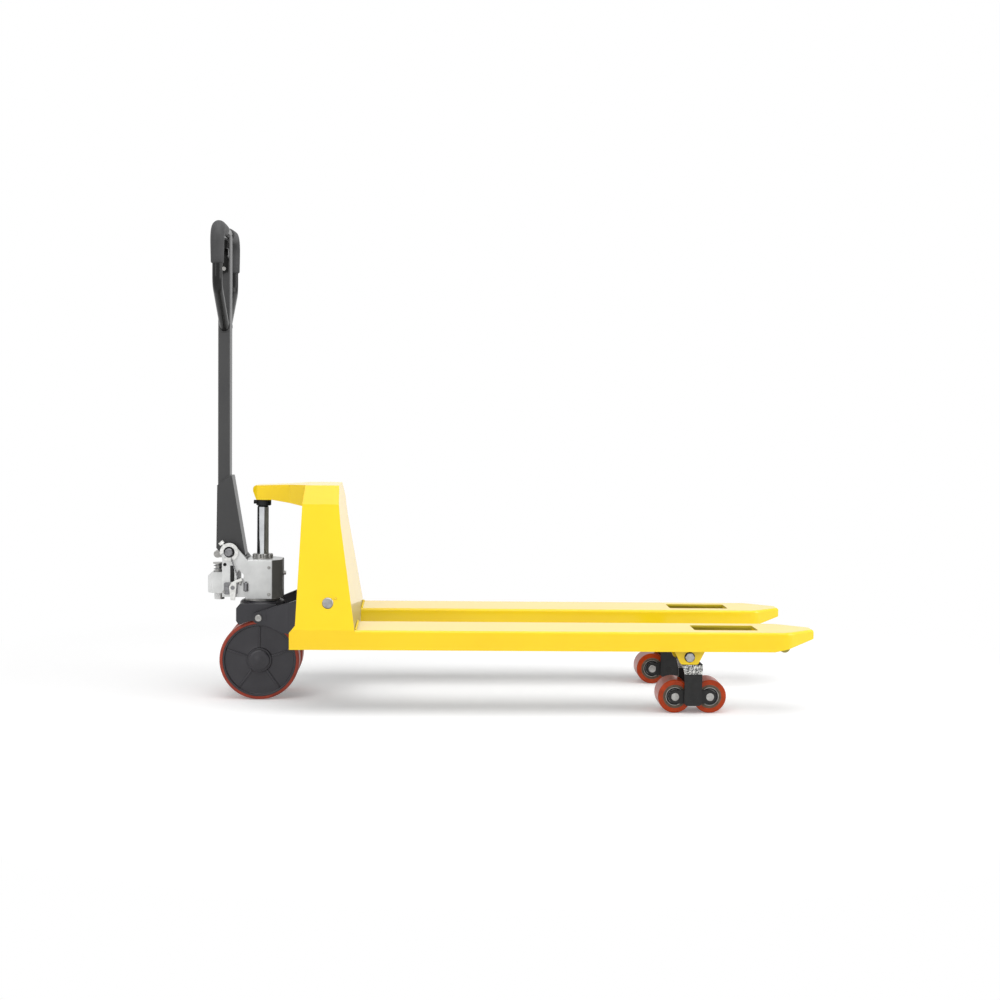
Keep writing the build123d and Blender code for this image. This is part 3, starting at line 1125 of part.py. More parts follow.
TUBE_BOTTOM_Z = 440.0
TUBE_WALL = 3.0
with BuildPart() as tube:
    with BuildSketch(level(TUBE_BOTTOM_Z)):
        with Locations((TUBE_X, 0)):
            RectangleRounded(TUBE_WIDTH_X, TUBE_WIDTH_Y, 4)
            RectangleRounded(TUBE_WIDTH_X - 2 * TUBE_WALL, TUBE_WIDTH_Y - 2 * TUBE_WALL, 1.5, mode=Mode.SUBTRACT)
    extrude(amount=LOOP_TOP_Z - LOOP_R + 4 - TUBE_BOTTOM_Z)
    # above the control lever's pivot only the front wall runs on, up to the loop
    with BuildSketch(side(TUBE_WIDTH_Y)):
        Polygon(
            (TUBE_X - TUBE_WIDTH_X, LEVER_PIVOT_Z - 22),
            (TUBE_X + TUBE_WIDTH_X / 2 - TUBE_WALL, TUBE_TOP_Z + 2),
            (TUBE_X + TUBE_WIDTH_X / 2 - TUBE_WALL, LOOP_TOP_Z + LOOP_R),
            (TUBE_X - TUBE_WIDTH_X, LOOP_TOP_Z + LOOP_R),
            align=None,
        )
    extrude(amount=2 * TUBE_WIDTH_Y, mode=Mode.SUBTRACT)
    disc(TUBE_X, LEVER_PIVOT_Z, LEVER_PIN_R, -OUTER, OUTER, Mode.SUBTRACT)
save(tube, "handle_tube")

LOOP_X = TUBE_X + 1
LEG_JOIN_Z = LOOP_TOP_Z - 236
LEG_KNEE_Z = LOOP_TOP_Z - 141
LOOP_BEND_R = 38.0
GRIP_BOTTOM_Z = LOOP_TOP_Z - 90
GRIP_INNER_Y = 52.0


def at_loop(y, z):
    return (X_STEER + LOOP_X, y, z)


with BuildPart() as loop:
    with BuildLine() as loop_path:
        FilletPolyline(
            at_loop(TUBE_WIDTH_Y / 4, LEG_JOIN_Z - 8),
            at_loop(LOOP_HALF, LEG_KNEE_Z),
            at_loop(LOOP_HALF, LOOP_TOP_Z),
            at_loop(-LOOP_HALF, LOOP_TOP_Z),
            at_loop(-LOOP_HALF, LEG_KNEE_Z),
            at_loop(-TUBE_WIDTH_Y / 4, LEG_JOIN_Z - 8),
            radius=LOOP_BEND_R,
        )
    with BuildSketch(Plane(origin=loop_path.wire() @ 0, z_dir=loop_path.wire() % 0)):
        Circle(LOOP_R)
    sweep(path=loop_path.wire())
    # notched to the tube's side walls and to the front wall at the top
    with BuildSketch(level(LEG_JOIN_Z - 40)):
        with Locations((TUBE_X, 0)):
            Rectangle(TUBE_WIDTH_X, TUBE_WIDTH_Y)
    extrude(amount=90, mode=Mode.SUBTRACT)
    with BuildSketch(level(LOOP_TOP_Z - LOOP_R - 1)):
        with Locations((TUBE_X + TUBE_WIDTH_X / 2 - TUBE_WALL, 0)):
            Rectangle(TUBE_WALL + 1, TUBE_WIDTH_Y, align=(Align.MIN, Align.CENTER))
    extrude(amount=5, mode=Mode.SUBTRACT)
save(loop, "handle_loop")

with BuildPart() as grip:
    with BuildLine() as grip_path:
        FilletPolyline(
            at_loop(LOOP_HALF, GRIP_BOTTOM_Z),
            at_loop(LOOP_HALF, LOOP_TOP_Z),
            at_loop(GRIP_INNER_Y, LOOP_TOP_Z),
            radius=LOOP_BEND_R,
        )
    with BuildSketch(Plane(origin=grip_path.wire() @ 0, z_dir=grip_path.wire() % 0)):
        Circle(GRIP_R)
        Circle(LOOP_R + RUN, mode=Mode.SUBTRACT)
    sweep(path=grip_path.wire())
save(both_sides(grip), "grips")

# ---- control lever in the loop ------------------------------------------
LEVER_CHEEK_Y = TUBE_WIDTH_Y / 2 + 0.5
LEVER_CHEEK = 5.0
PADDLE_BOTTOM_Z = TUBE_TOP_Z + 31
PADDLE_TOP_Z = PADDLE_BOTTOM_Z + 23

with BuildPart() as lever_pin:
    disc(TUBE_X, LEVER_PIVOT_Z, LEVER_PIN_R, -LEVER_CHEEK_Y - LEVER_CHEEK - 2, LEVER_CHEEK_Y + LEVER_CHEEK + 2)
save(lever_pin, "control_lever_pin")

with BuildPart() as control_lever:
    for cheek_low in (LEVER_CHEEK_Y, -LEVER_CHEEK_Y - LEVER_CHEEK):
        with BuildSketch(side(cheek_low + LEVER_CHEEK)):
            Polygon(
                (TUBE_X - 13, LEVER_PIVOT_Z - 24),
                (TUBE_X - 12, TUBE_TOP_Z + 8),
                (TUBE_X - 6, TUBE_TOP_Z + 15),
                (TUBE_X + 8, TUBE_TOP_Z + 15),
                (TUBE_X + 12, TUBE_TOP_Z + 2),
                (TUBE_X + 10, LEVER_PIVOT_Z - 6),
                (TUBE_X - 4, LEVER_PIVOT_Z - 12),
                align=None,
            )
        extrude(amount=LEVER_CHEEK)
    with BuildSketch(side(LEVER_CHEEK_Y + LEVER_CHEEK)):
        Polygon(
            (TUBE_X - 10, TUBE_TOP_Z + 8),
            (TUBE_X - 6, TUBE_TOP_Z + 15),
            (TUBE_X + 8, TUBE_TOP_Z + 15),
            (TUBE_X + 11, TUBE_TOP_Z + 8),
            align=None,
        )
    extrude(amount=2 * (LEVER_CHEEK_Y + LEVER_CHEEK))
    with BuildSketch(across(TUBE_X - 6)):
        Polygon(
            (-14, TUBE_TOP_Z + 10),
            (-9, PADDLE_BOTTOM_Z + 4),
            (9, PADDLE_BOTTOM_Z + 4),
            (14, TUBE_TOP_Z + 10),
            align=None,
        )
    extrude(amount=14)
    with BuildSketch(side(40)):
        with Locations((TUBE_X + 1, (PADDLE_BOTTOM_Z + PADDLE_TOP_Z) / 2)):
            RectangleRounded(20, PADDLE_TOP_Z - PADDLE_BOTTOM_Z, 8)
    extrude(amount=80)
    disc(TUBE_X, LEVER_PIVOT_Z, LEVER_PIN_R + RUN, -OUTER, OUTER, Mode.SUBTRACT)
save(control_lever, "control_lever")
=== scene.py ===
import json
import math

import bmesh
import bpy
from mathutils import Matrix, Vector


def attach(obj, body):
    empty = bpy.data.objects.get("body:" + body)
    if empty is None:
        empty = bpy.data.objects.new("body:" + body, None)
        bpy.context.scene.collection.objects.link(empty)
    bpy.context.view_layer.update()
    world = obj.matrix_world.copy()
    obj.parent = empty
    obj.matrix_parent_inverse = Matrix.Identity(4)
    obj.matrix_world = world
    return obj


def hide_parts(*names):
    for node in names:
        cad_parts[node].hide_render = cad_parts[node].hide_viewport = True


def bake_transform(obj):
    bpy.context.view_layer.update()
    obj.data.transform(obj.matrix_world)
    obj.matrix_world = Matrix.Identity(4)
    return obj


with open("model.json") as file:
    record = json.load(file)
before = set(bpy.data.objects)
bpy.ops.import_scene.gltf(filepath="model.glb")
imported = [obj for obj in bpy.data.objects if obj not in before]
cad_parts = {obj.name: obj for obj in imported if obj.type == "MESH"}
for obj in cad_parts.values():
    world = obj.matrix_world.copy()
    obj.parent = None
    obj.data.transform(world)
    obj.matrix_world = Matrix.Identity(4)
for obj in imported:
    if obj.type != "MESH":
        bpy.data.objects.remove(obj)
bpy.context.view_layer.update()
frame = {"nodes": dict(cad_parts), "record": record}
nodes = frame["nodes"]
MM = 0.001


# ---- colours and node help -------------------------------------------------
def srgb(text):
    """An sRGB hex colour as linear red, green, blue and alpha."""
    parts = [int(text[i:i + 2], 16) / 255 for i in (1, 3, 5)]
    return [p / 12.92 if p <= 0.04045 else ((p + 0.055) / 1.055) ** 2.4 for p in parts] + [1.0]


def add_node(owner, kind, links=(), settings=(), **values):
    """Adds one node to a material or world.

    settings are its properties, values its sockets and links what feeds them.
    """
    node = owner.node_tree.nodes.new(kind)
    for name, value in dict(settings).items():
        setattr(node, name, value)
    for name, value in values.items():
        node.inputs[name.replace("_", " ")].default_value = value
    for socket, source in dict(links).items():
        owner.node_tree.links.new(source, node.inputs[socket])
    return node


def new_material(name):
    material = bpy.data.materials.new(name)
    material.use_nodes = True
    material.node_tree.nodes.clear()
    return material


def surface(
    name, light, dark, roughness, rough_spread, grain_mm, bump_mm, patch_mm,
    metallic=0.0, coat=0.0, coat_rough=0.2, specular=0.5,
):
    """A finish with slow colour patches and a fine grain in its bump and gloss."""
    material = new_material(name)
    place = add_node(material, "ShaderNodeTexCoord").outputs["Object"]
    patches = add_node(
        material, "ShaderNodeTexNoise", {"Vector": place}, Scale=1 / (patch_mm * MM), Detail=4.0
    )
    grain = add_node(
        material, "ShaderNodeTexNoise", {"Vector": place}, Scale=1 / (grain_mm * MM), Detail=3.0
    )
    tint = add_node(material, "ShaderNodeValToRGB", {"Fac": patches.outputs["Fac"]})
    for stop, position, colour in zip(tint.color_ramp.elements, (0.3, 0.65), (dark, light)):
        stop.position = position
        stop.color = srgb(colour)
    gloss = add_node(
        material, "ShaderNodeMapRange", {"Value": grain.outputs["Fac"]},
        To_Min=roughness - rough_spread, To_Max=roughness + rough_spread,
    )
    bump = add_node(
        material, "ShaderNodeBump", {"Height": grain.outputs["Fac"]}, Strength=0.6, Distance=bump_mm * MM
    )
    shader = add_node(
        material,
        "ShaderNodeBsdfPrincipled",
        {
            "Base Color": tint.outputs["Color"],
            "Roughness": gloss.outputs["Result"],
            "Normal": bump.outputs["Normal"],
        },
        Metallic=metallic,
        Coat_Weight=coat,
        Coat_Roughness=coat_rough,
        Specular_IOR_Level=specular,
    )
    add_node(material, "ShaderNodeOutputMaterial", {"Surface": shader.outputs["BSDF"]})
    return material


# ---- finishes ----------------------------------------------------------------
# Polyester powder coat: bright yellow, glossy, with a faint orange-peel surface.
powder_coat_yellow = surface(
    "powder_coat_yellow", "#FFD90F", "#FDD30A", 0.34, 0.05, 2.2, 0.015, 180.0,
    coat=0.7, coat_rough=0.12, specular=0.15,
)
# Stoved enamel on the cast rocker: near black with a blue cast and a slight sheen.
enamel_black = surface("enamel_black", "#2B2A2F", "#232227", 0.38, 0.08, 1.6, 0.06, 70.0)
# Powder coat on the steering tube: dark grey, half gloss.
powder_coat_graphite = surface(
    "powder_coat_graphite", "#373737", "#303031", 0.38, 0.06, 1.4, 0.03, 120.0,
    coat=0.1, coat_rough=0.3,
)
# Aluminium paint over grey iron: light, softly metallic, with the casting's grain.
aluminium_paint = surface(
    "aluminium_paint", "#E2E3E2", "#CFD0CF", 0.38, 0.08, 1.1, 0.10, 40.0, metallic=0.25
)
# Zinc plate on turned steel: pale grey metal with cloudy patches.
zinc_plate = surface("zinc_plate", "#B2B1AE", "#93928F", 0.34, 0.08, 0.8, 0.03, 9.0, metallic=0.85)
# Hard chrome on the ground piston: bright and nearly smooth.
hard_chrome = surface("hard_chrome", "#D8DADC", "#C4C6C9", 0.12, 0.03, 0.6, 0.004, 25.0, metallic=1.0)
# Black phosphate on pressed steel: dark, dry, a little patchy.
black_phosphate = surface(
    "black_phosphate", "#1E1E1E", "#161616", 0.52, 0.08, 0.9, 0.05, 14.0, metallic=0.1, specular=0.35
)
# Glass-filled nylon wheel centre: dark grey, moulded, satin.
moulded_nylon = surface("moulded_nylon", "#2D2B30", "#262429", 0.40, 0.05, 1.2, 0.03, 50.0)
# Cast polyurethane tyre: brick red, slightly scuffed on the tread.
polyurethane_red = surface(
    "polyurethane_red", "#A03F2C", "#8C3526", 0.42, 0.08, 1.5, 0.05, 22.0, specular=0.3
)
# Cast polyurethane roller tread: orange red and glossier.
polyurethane_orange = surface(
    "polyurethane_orange", "#B63C06", "#9A3204", 0.32, 0.07, 1.5, 0.02, 18.0,
    coat=0.25, coat_rough=0.15, specular=0.12,
)
# Soft moulded rubber sleeve: charcoal, matt, finely pebbled.
soft_rubber = surface("soft_rubber", "#3A3A3B", "#303031", 0.62, 0.06, 0.9, 0.10, 30.0)
# Moulded nylon guide roller, olive yellow.
nylon_olive = surface("nylon_olive", "#A59A3E", "#8E8432", 0.5, 0.06, 1.0, 0.03, 14.0)
# Oil-tempered spring wire: mid grey metal.
spring_wire = surface("spring_wire", "#8C8C8E", "#747476", 0.36, 0.06, 0.5, 0.01, 6.0, metallic=0.9)
# Stoved gloss enamel on the bent loop and the control lever: black with hard highlights.
gloss_enamel = surface(
    "gloss_enamel", "#161616", "#111111", 0.24, 0.05, 1.4, 0.01, 90.0,
    coat=0.1, coat_rough=0.06, specular=0.22,
)
# Bright zinc on the small pressed lever: near white.
bright_zinc = surface("bright_zinc", "#F4F4F1", "#DCDCD8", 0.30, 0.08, 0.8, 0.03, 7.0, metallic=0.3)
# Dusty shield round a bearing: olive grey and dull.
bearing_shield = surface(
    "bearing_shield", "#6A5C4C", "#54493D", 0.55, 0.08, 0.8, 0.03, 9.0, metallic=0.3, specular=0.3
)


def box_mask(material, limits):
    """1 where every coordinate lies between its limits in metres, with Y folded to one side."""
    place = add_node(material, "ShaderNodeTexCoord").outputs["Object"]
    split = add_node(material, "ShaderNodeSeparateXYZ", {"Vector": place})
    folded = add_node(material, "ShaderNodeMath", {0: split.outputs["Y"]}, {"operation": "ABSOLUTE"})
    mask = None
    for source, (low, high) in limits:
        axis = folded.outputs[0] if source == "Y" else split.outputs[source]
        for operation, limit in (("GREATER_THAN", low), ("LESS_THAN", high)):
            test = add_node(material, "ShaderNodeMath", {0: axis}, {"operation": operation})
            test.inputs[1].default_value = limit
            if mask is None:
                mask = test.outputs[0]
            else:
                both = {0: mask, 1: test.outputs[0]}
                mask = add_node(material, "ShaderNodeMath", both, {"operation": "MULTIPLY"}).outputs[0]
    return mask


def lay_over(material, factor, over):
    """Mixes a second shader over the material's own where factor is 1."""
    out = next(n for n in material.node_tree.nodes if n.type == "OUTPUT_MATERIAL")
    below = out.inputs["Surface"].links[0].from_socket
    mix = add_node(material, "ShaderNodeMixShader", {0: factor, 1: below, 2: over.outputs[0]})
    material.node_tree.links.new(mix.outputs[0], out.inputs["Surface"])


# Painted shade: inside the blades the coat is painted a dull olive, where little light reaches.
BLADE_HOLLOW = [("Y", (0.1195, 0.2705)), ("Z", (0.1590, 0.2055)), ("X", (-0.37, 0.62))]
painted_hollow_shade = add_node(
    powder_coat_yellow, "ShaderNodeBsdfPrincipled", Roughness=0.6, Base_Color=srgb("#C4AE06")
)
lay_over(powder_coat_yellow, box_mask(powder_coat_yellow, BLADE_HOLLOW), painted_hollow_shade)
# Light thrown back by the yellow coat, and its image in chrome, are kept close to neutral.
coat_rays = add_node(powder_coat_yellow, "ShaderNodeLightPath").outputs
thrown_back = add_node(
    powder_coat_yellow, "ShaderNodeMath",
    {0: coat_rays["Is Diffuse Ray"], 1: coat_rays["Is Glossy Ray"]}, {"operation": "MAXIMUM"},
)
neutral_coat = add_node(powder_coat_yellow, "ShaderNodeBsdfDiffuse", Color=(0.42, 0.40, 0.34, 1))
lay_over(powder_coat_yellow, thrown_back.outputs[0], neutral_coat)

# Painted shade: the pump's faces turned to the mast, with normals along +X, are painted darker as if
# they stay in its shade.
pump_normal = add_node(aluminium_paint, "ShaderNodeTexCoord").outputs["Normal"]
facing = add_node(aluminium_paint, "ShaderNodeSeparateXYZ", {"Vector": pump_normal}).outputs["X"]
shade_by_facing = add_node(aluminium_paint, "ShaderNodeMapRange", {"Value": facing}, From_Min=0.25, From_Max=0.55)
painted_pump_shade = add_node(
    aluminium_paint, "ShaderNodeBsdfPrincipled", Base_Color=srgb("#6E6D69"), Roughness=0.4, Metallic=0.2
)
lay_over(aluminium_paint, shade_by_facing.outputs["Result"], painted_pump_shade)

# The roller arms: black phosphate with a band of bare, blasted zinc below the lugs.
# The blasting is drawn about 2 mm coarse, so that it shows.
BARE_BAND = [("Z", (0.098, 0.121))]
arm_phosphate = surface(
    "arm_phosphate_banded", "#222222", "#1A1A1A", 0.52, 0.08, 0.9, 0.05, 14.0,
    metallic=0.1, specular=0.35,
)
arm_place = add_node(arm_phosphate, "ShaderNodeTexCoord").outputs["Object"]
blasting = add_node(arm_phosphate, "ShaderNodeTexNoise", {"Vector": arm_place}, Scale=420.0, Detail=3.0)
speckle = add_node(arm_phosphate, "ShaderNodeValToRGB", {"Fac": blasting.outputs["Fac"]})
for stop, position, colour in zip(speckle.color_ramp.elements, (0.42, 0.58), ("#4A4A48", "#E2E2DE")):
    stop.position = position
    stop.color = srgb(colour)
bare_zinc = add_node(
    arm_phosphate, "ShaderNodeBsdfPrincipled", {"Base Color": speckle.outputs["Color"]},
    Metallic=0.3, Roughness=0.45,
)
lay_over(arm_phosphate, box_mask(arm_phosphate, BARE_BAND), bare_zinc)

FINISHES = {
    "chassis_yellow": powder_coat_yellow,
    "rocker_black": enamel_black,
    "handle_black": powder_coat_graphite,
    "pump_grey": aluminium_paint,
    "zinc": zinc_plate,
    "dark_steel": black_phosphate,
    "chrome_rod": hard_chrome,
    "wheel_core": moulded_nylon,
    "roller_core": black_phosphate,
    "tyre_brown": polyurethane_red,
    "tread_orange": polyurethane_orange,
    "grip_black": soft_rubber,
    "entry_roller_olive": nylon_olive,
    "spring_steel": spring_wire,
}
# nodes whose finish differs from that of their slot
OWN_FINISHES = {
    "roller_arm_left": arm_phosphate,
    "roller_arm_right": arm_phosphate,
    "handle_loop": gloss_enamel,
    "control_lever": gloss_enamel,
    "release_lever": bright_zinc,
    "release_bracket": spring_wire,
    "shaft_ring_and_knob": bright_zinc,
    "handle_shaft": spring_wire,
}
SLOT_OF = {part["node"]: part["material_slot"] for part in frame["record"]["subparts"]}
# the slot of each finish that new pieces wear; black phosphate is dark steel, which comes first
SLOT_OF_FINISH = {finish.name: slot for slot, finish in reversed(FINISHES.items())}
SLOT_OF_FINISH["bearing_shield"] = "roller_core"


def wear(obj, material):
    obj.data.materials.clear()
    obj.data.materials.append(material)


for node_name, obj in nodes.items():
    wear(obj, OWN_FINISHES.get(node_name) or FINISHES[SLOT_OF[node_name]])


# ---- modelling help ------------------------------------------------------------
X_STEER = -617.5
SMOOTH_ANGLE = math.radians(35)
WELD_DISTANCE = 1e-6


def at(x, y, z):
    """A point in millimetres, with x from the steering axis, in scene metres."""
    return Vector((X_STEER + x, y, z)) * MM


def place_mesh(name, mesh, material, body, replaced=()):
    """Makes the finished object, shades it and ties it to its body.

    body may also be two bodies and two points; these are not used, and the piece is then tied to no
    body.
    """
    form = bmesh.new()
    form.from_mesh(mesh)
    bmesh.ops.remove_doubles(form, verts=form.verts, dist=WELD_DISTANCE)
    bmesh.ops.recalc_face_normals(form, faces=form.faces)
    for face in form.faces:
        face.smooth = True
    for edge in form.edges:
        edge.smooth = len(edge.link_faces) == 2 and edge.calc_face_angle() < SMOOTH_ANGLE
    form.to_mesh(mesh)
    form.free()
    obj = bpy.data.objects.new(name, mesh)
    bpy.context.scene.collection.objects.link(obj)
    wear(obj, material)
    if replaced:
        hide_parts(*replaced)
    if isinstance(body, str):
        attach(obj, body)
    else:
        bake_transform(obj)


def from_bmesh(name, form, material, body, replaced=()):
    mesh = bpy.data.meshes.new(name)
    form.to_mesh(mesh)
    form.free()
    place_mesh(name, mesh, material, body, replaced)


def pour_into(form, other):
    """Adds another bmesh to form and frees it."""
    carrier = bpy.data.meshes.new("carrier")
    other.to_mesh(carrier)
    other.free()
    form.from_mesh(carrier)
    bpy.data.meshes.remove(carrier)


def turn_into(form, profile, spot, axis, steps=72):
    """Lathes a (radius, height) profile, heights running along axis from spot."""
    turned = bmesh.new()
    corners = [turned.verts.new((radius * MM, 0.0, height * MM)) for radius, height in profile]
    edges = [turned.edges.new(pair) for pair in zip(corners, corners[1:])]
    bmesh.ops.spin(
        turned,
        geom=corners + edges,
        cent=(0, 0, 0),
        axis=(0, 0, 1),
        angle=2 * math.pi,
        steps=steps,
        use_merge=True,
        use_duplicate=False,
    )
    bmesh.ops.remove_doubles(turned, verts=turned.verts, dist=WELD_DISTANCE)
    tilt = Vector((0, 0, 1)).rotation_difference(Vector(axis)).to_matrix().to_4x4()
    turned.transform(Matrix.Translation(spot) @ tilt)
    pour_into(form, turned)


def block_into(form, size, turn, bevel):
    """A bevelled block of the given size in millimetres, set down by a matrix."""
    block = bmesh.new()
    bmesh.ops.create_cube(block, size=1.0, matrix=Matrix.Diagonal(Vector(size) * MM).to_4x4())
    bmesh.ops.bevel(
        block,
        geom=block.edges[:],
        offset=bevel * MM,
        segments=2,
        affect="EDGES",
        profile=0.5,
        material=-1,
    )
    block.transform(turn)
    pour_into(form, block)


def swept(name, runs, material, body, replaced=(), sides=4, loops=()):
    """Round bars as one mesh, along open runs and closed loops of (point, radius in millimetres)."""
    path = bpy.data.curves.new(name, "CURVE")
    path.dimensions = "3D"
    path.bevel_depth = MM
    path.bevel_resolution = sides
    path.use_fill_caps = True
    for run, closed in [(run, False) for run in runs] + [(loop, True) for loop in loops]:
        spline = path.splines.new("POLY")
        spline.points.add(len(run) - 1)
        for point, (spot, radius) in zip(spline.points, run):
            point.co = (*spot, 1.0)
            point.radius = radius
        spline.use_cyclic_u = closed
    bar = bpy.data.objects.new(name + "_path", path)
    bpy.context.scene.collection.objects.link(bar)
    mesh = bpy.data.meshes.new_from_object(bar.evaluated_get(bpy.context.evaluated_depsgraph_get()))
    mesh.name = name
    bpy.data.objects.remove(bar)
    place_mesh(name, mesh, material, body, replaced)


BEAD_PITCH = 2.6
BEAD_STEPS = 4
BEAD_RIPPLE = 0.11
BEAD_END = 0.6


def bead(points, radius):
    """A weld bead: the run through the points with ripples in its radius."""
    run = []
    for start, end in zip(points, points[1:]):
        count = max(2, round((end - start).length / MM / BEAD_PITCH * BEAD_STEPS))
        for step in range(count):
            wave = math.cos(2 * math.pi * len(run) / BEAD_STEPS)
            run.append((start.lerp(end, step / count), radius * (1 + BEAD_RIPPLE * wave)))
    run.append((points[-1], radius * BEAD_END))
    return run


SIDES = (("left", 1), ("right", -1))
OUTWARDS = Vector((0, 1, 0))
INWARDS = Vector((0, -1, 0))
UPWARDS = Vector((0, 0, 1))
BOTH_FACES = (OUTWARDS, INWARDS)
FORK_Y = 195.0

# ---- steering wheels: shallow ribbed centres and caps over the axle ------------------
WHEEL_MID_Y = 57.0
WHEEL_HALF = 25.0
AXLE_Z = 100.0
# (radius, height outwards from the wheel's middle)
CENTRE_PROFILE = [
    (12.7, -WHEEL_HALF), (30, -WHEEL_HALF), (31, -24), (32, -9), (82, -7), (84, -9), (85, -24),
    (86, -WHEEL_HALF), (91.9, -WHEEL_HALF), (91.9, 24.4), (91.2, 25.2), (88.5, 25.2), (87.4, 24.6),
    (86.6, 20.6), (85.2, 19.4), (60, 18.6), (34, 19.0), (32, 19.8), (31, 22.8), (30, 23.6),
    (12.7, 23.8), (12.7, -WHEEL_HALF),
]
CAP_PROFILE = [
    (0, 30.6), (9, 30.6), (10, 30.0), (20, 29.8), (24.5, 29.0), (26.2, 27.4), (26.6, 23.8),
    (22, 23.8), (21.4, 29.3), (0, 29.4),
]
RIBS = 5
RIB_SIZE = (54.5, 5.2, 4.4)
RIB_BEVEL = 1.6
RIB_R = 58.5
RIB_HEIGHT = 19.6
for side, sign in SIDES:
    centre = at(0, sign * WHEEL_MID_Y, AXLE_Z)
    wheel = bmesh.new()
    turn_into(wheel, CENTRE_PROFILE, centre, sign * OUTWARDS, 96)
    for rib in range(RIBS):
        spin = Matrix.Rotation(-math.radians(90 + rib * 360 / RIBS), 4, "Y")
        reach = Matrix.Translation(Vector((RIB_R, sign * RIB_HEIGHT, 0)) * MM)
        block_into(wheel, RIB_SIZE, Matrix.Translation(centre) @ spin @ reach, RIB_BEVEL)
    from_bmesh(f"wheel_centre_{side}", wheel, moulded_nylon, f"wheel_{side}", (f"steer_hub_{side}",))
    cap = bmesh.new()
    turn_into(cap, CAP_PROFILE, centre, sign * OUTWARDS)
    from_bmesh(f"wheel_cap_{side}", cap, moulded_nylon, f"wheel_{side}")

# ---- load rollers: bright bearing rings, dull shields and axle heads -----------------------
BOGIE_X = 1071.3
ROLLER_Z = 41.0
HALF_PITCH = 43.0
# (radius, height from the fork's middle)
OUTER_RING = [(20.8, 31), (20.8, 34.0), (21.2, 34.8), (22.4, 34.8), (22.8, 34.2), (22.8, 31)]
INNER_RING = [(14.6, 31), (14.6, 33.0), (17.2, 33.0), (17.2, 31)]
SHIELD = [
    (23.0, 31), (23.0, 34.6), (24.0, 35.2), (28.4, 35.4), (28.9, 35.0), (26.2, 34.9), (25.9, 31),
]
AXLE_HEAD = [(0, 42.8), (7.6, 42.8), (9.2, 42.5), (9.6, 42.2), (9.6, 42.0)]
for side, sign in SIDES:
    heads = bmesh.new()
    for end, shift in (("rear", -HALF_PITCH), ("front", HALF_PITCH)):
        axle = at(BOGIE_X + shift, sign * FORK_Y, ROLLER_Z)
        rings = bmesh.new()
        shields = bmesh.new()
        for face in BOTH_FACES:
            turn_into(rings, OUTER_RING, axle, face)
            turn_into(rings, INNER_RING, axle, face)
            turn_into(shields, SHIELD, axle, face)
            turn_into(heads, AXLE_HEAD, axle, face, 48)
        from_bmesh(f"{end}_roller_rings_{side}", rings, zinc_plate, f"{end}_roller_{side}")
        from_bmesh(f"{end}_roller_shields_{side}", shields, bearing_shield, f"{end}_roller_{side}")
    from_bmesh(f"axle_heads_{side}", heads, zinc_plate, f"bogie_{side}")

# ---- lugs: thin black rings under the pivot bolts' heads, painted shade round the bolts ---
LUG_X = 1059.0
LUG_Z = 142.0
LUG_FACE = 58.0
SHADE_RING_FACE = LUG_FACE + 0.5
BOLT_SHADE_RING = [(9.4, LUG_FACE), (12.8, LUG_FACE), (12.8, SHADE_RING_FACE), (9.4, SHADE_RING_FACE), (9.4, LUG_FACE)]
bolt_shade_rings = bmesh.new()
for _, sign in SIDES:
    for face in BOTH_FACES:
        turn_into(bolt_shade_rings, BOLT_SHADE_RING, at(LUG_X, sign * FORK_Y, LUG_Z), face, 48)
from_bmesh("lug_bolt_shade_rings", bolt_shade_rings, black_phosphate, "chassis")

# ---- grips: moulded sleeves, fuller in the middle, with a parting ridge ----------------
LOOP_X = -95.0
LOOP_HALF = 165.0
LOOP_TOP_Z = 1171.0
BEND_R = 38.0
GRIP_FOOT_Z = 1081.0
GRIP_LENGTH = 186.0
GRIP_R = 15.6
GRIP_SWELL = 1.3
GRIP_END_DROP = 2.6
GRIP_END_LENGTH = 3.5
END_STATIONS = [0, 0.8, 1.8, 3.5]
GRIP_STATIONS = [
    *END_STATIONS,
    *[6 + 4.35 * step for step in range(41)],
    *[GRIP_LENGTH - station for station in reversed(END_STATIONS)],
]
RIDGE_STATIONS = [4 + 2.0 * step for step in range(89)]
RIDGE_SINK = 0.5
RIDGE_R = 1.1
NUB_RISE = 0.35
NUB_EVERY = 3


def loop_point(along, sign, lift=0.0):
    """A point on the loop's centre line, measured up from the grip's lower end; lift moves it inward."""
    straight = LOOP_TOP_Z - BEND_R - GRIP_FOOT_Z
    arc = BEND_R * math.pi / 2
    bend_y = LOOP_HALF - BEND_R
    if along < straight:
        return at(LOOP_X, sign * (LOOP_HALF - lift), GRIP_FOOT_Z + along)
    if along < straight + arc:
        angle = (along - straight) / BEND_R
        y = bend_y + (BEND_R - lift) * math.cos(angle)
        return at(LOOP_X, sign * y, LOOP_TOP_Z - BEND_R + (BEND_R - lift) * math.sin(angle))
    return at(LOOP_X, sign * (bend_y - (along - straight - arc)), LOOP_TOP_Z - lift)


def grip_radius(along):
    end = min(along, GRIP_LENGTH - along)
    body = GRIP_R + GRIP_SWELL * math.sin(math.pi * along / GRIP_LENGTH)
    return body - GRIP_END_DROP * max(0.0, 1 - end / GRIP_END_LENGTH) ** 2


grips = []
ridges = []
for _, sign in SIDES:
    grips.append([(loop_point(along, sign), grip_radius(along)) for along in GRIP_STATIONS])
    ridge = []
    for count, along in enumerate(RIDGE_STATIONS):
        spot = loop_point(along, sign, grip_radius(along) - RIDGE_SINK)
        ridge.append((spot, RIDGE_R + NUB_RISE * (count % NUB_EVERY == 0)))
    ridges.append(ridge)
swept("grip_sleeves", grips, soft_rubber, "handle", ("grips",), sides=14)
swept("grip_ridges", ridges, soft_rubber, "handle", sides=3)

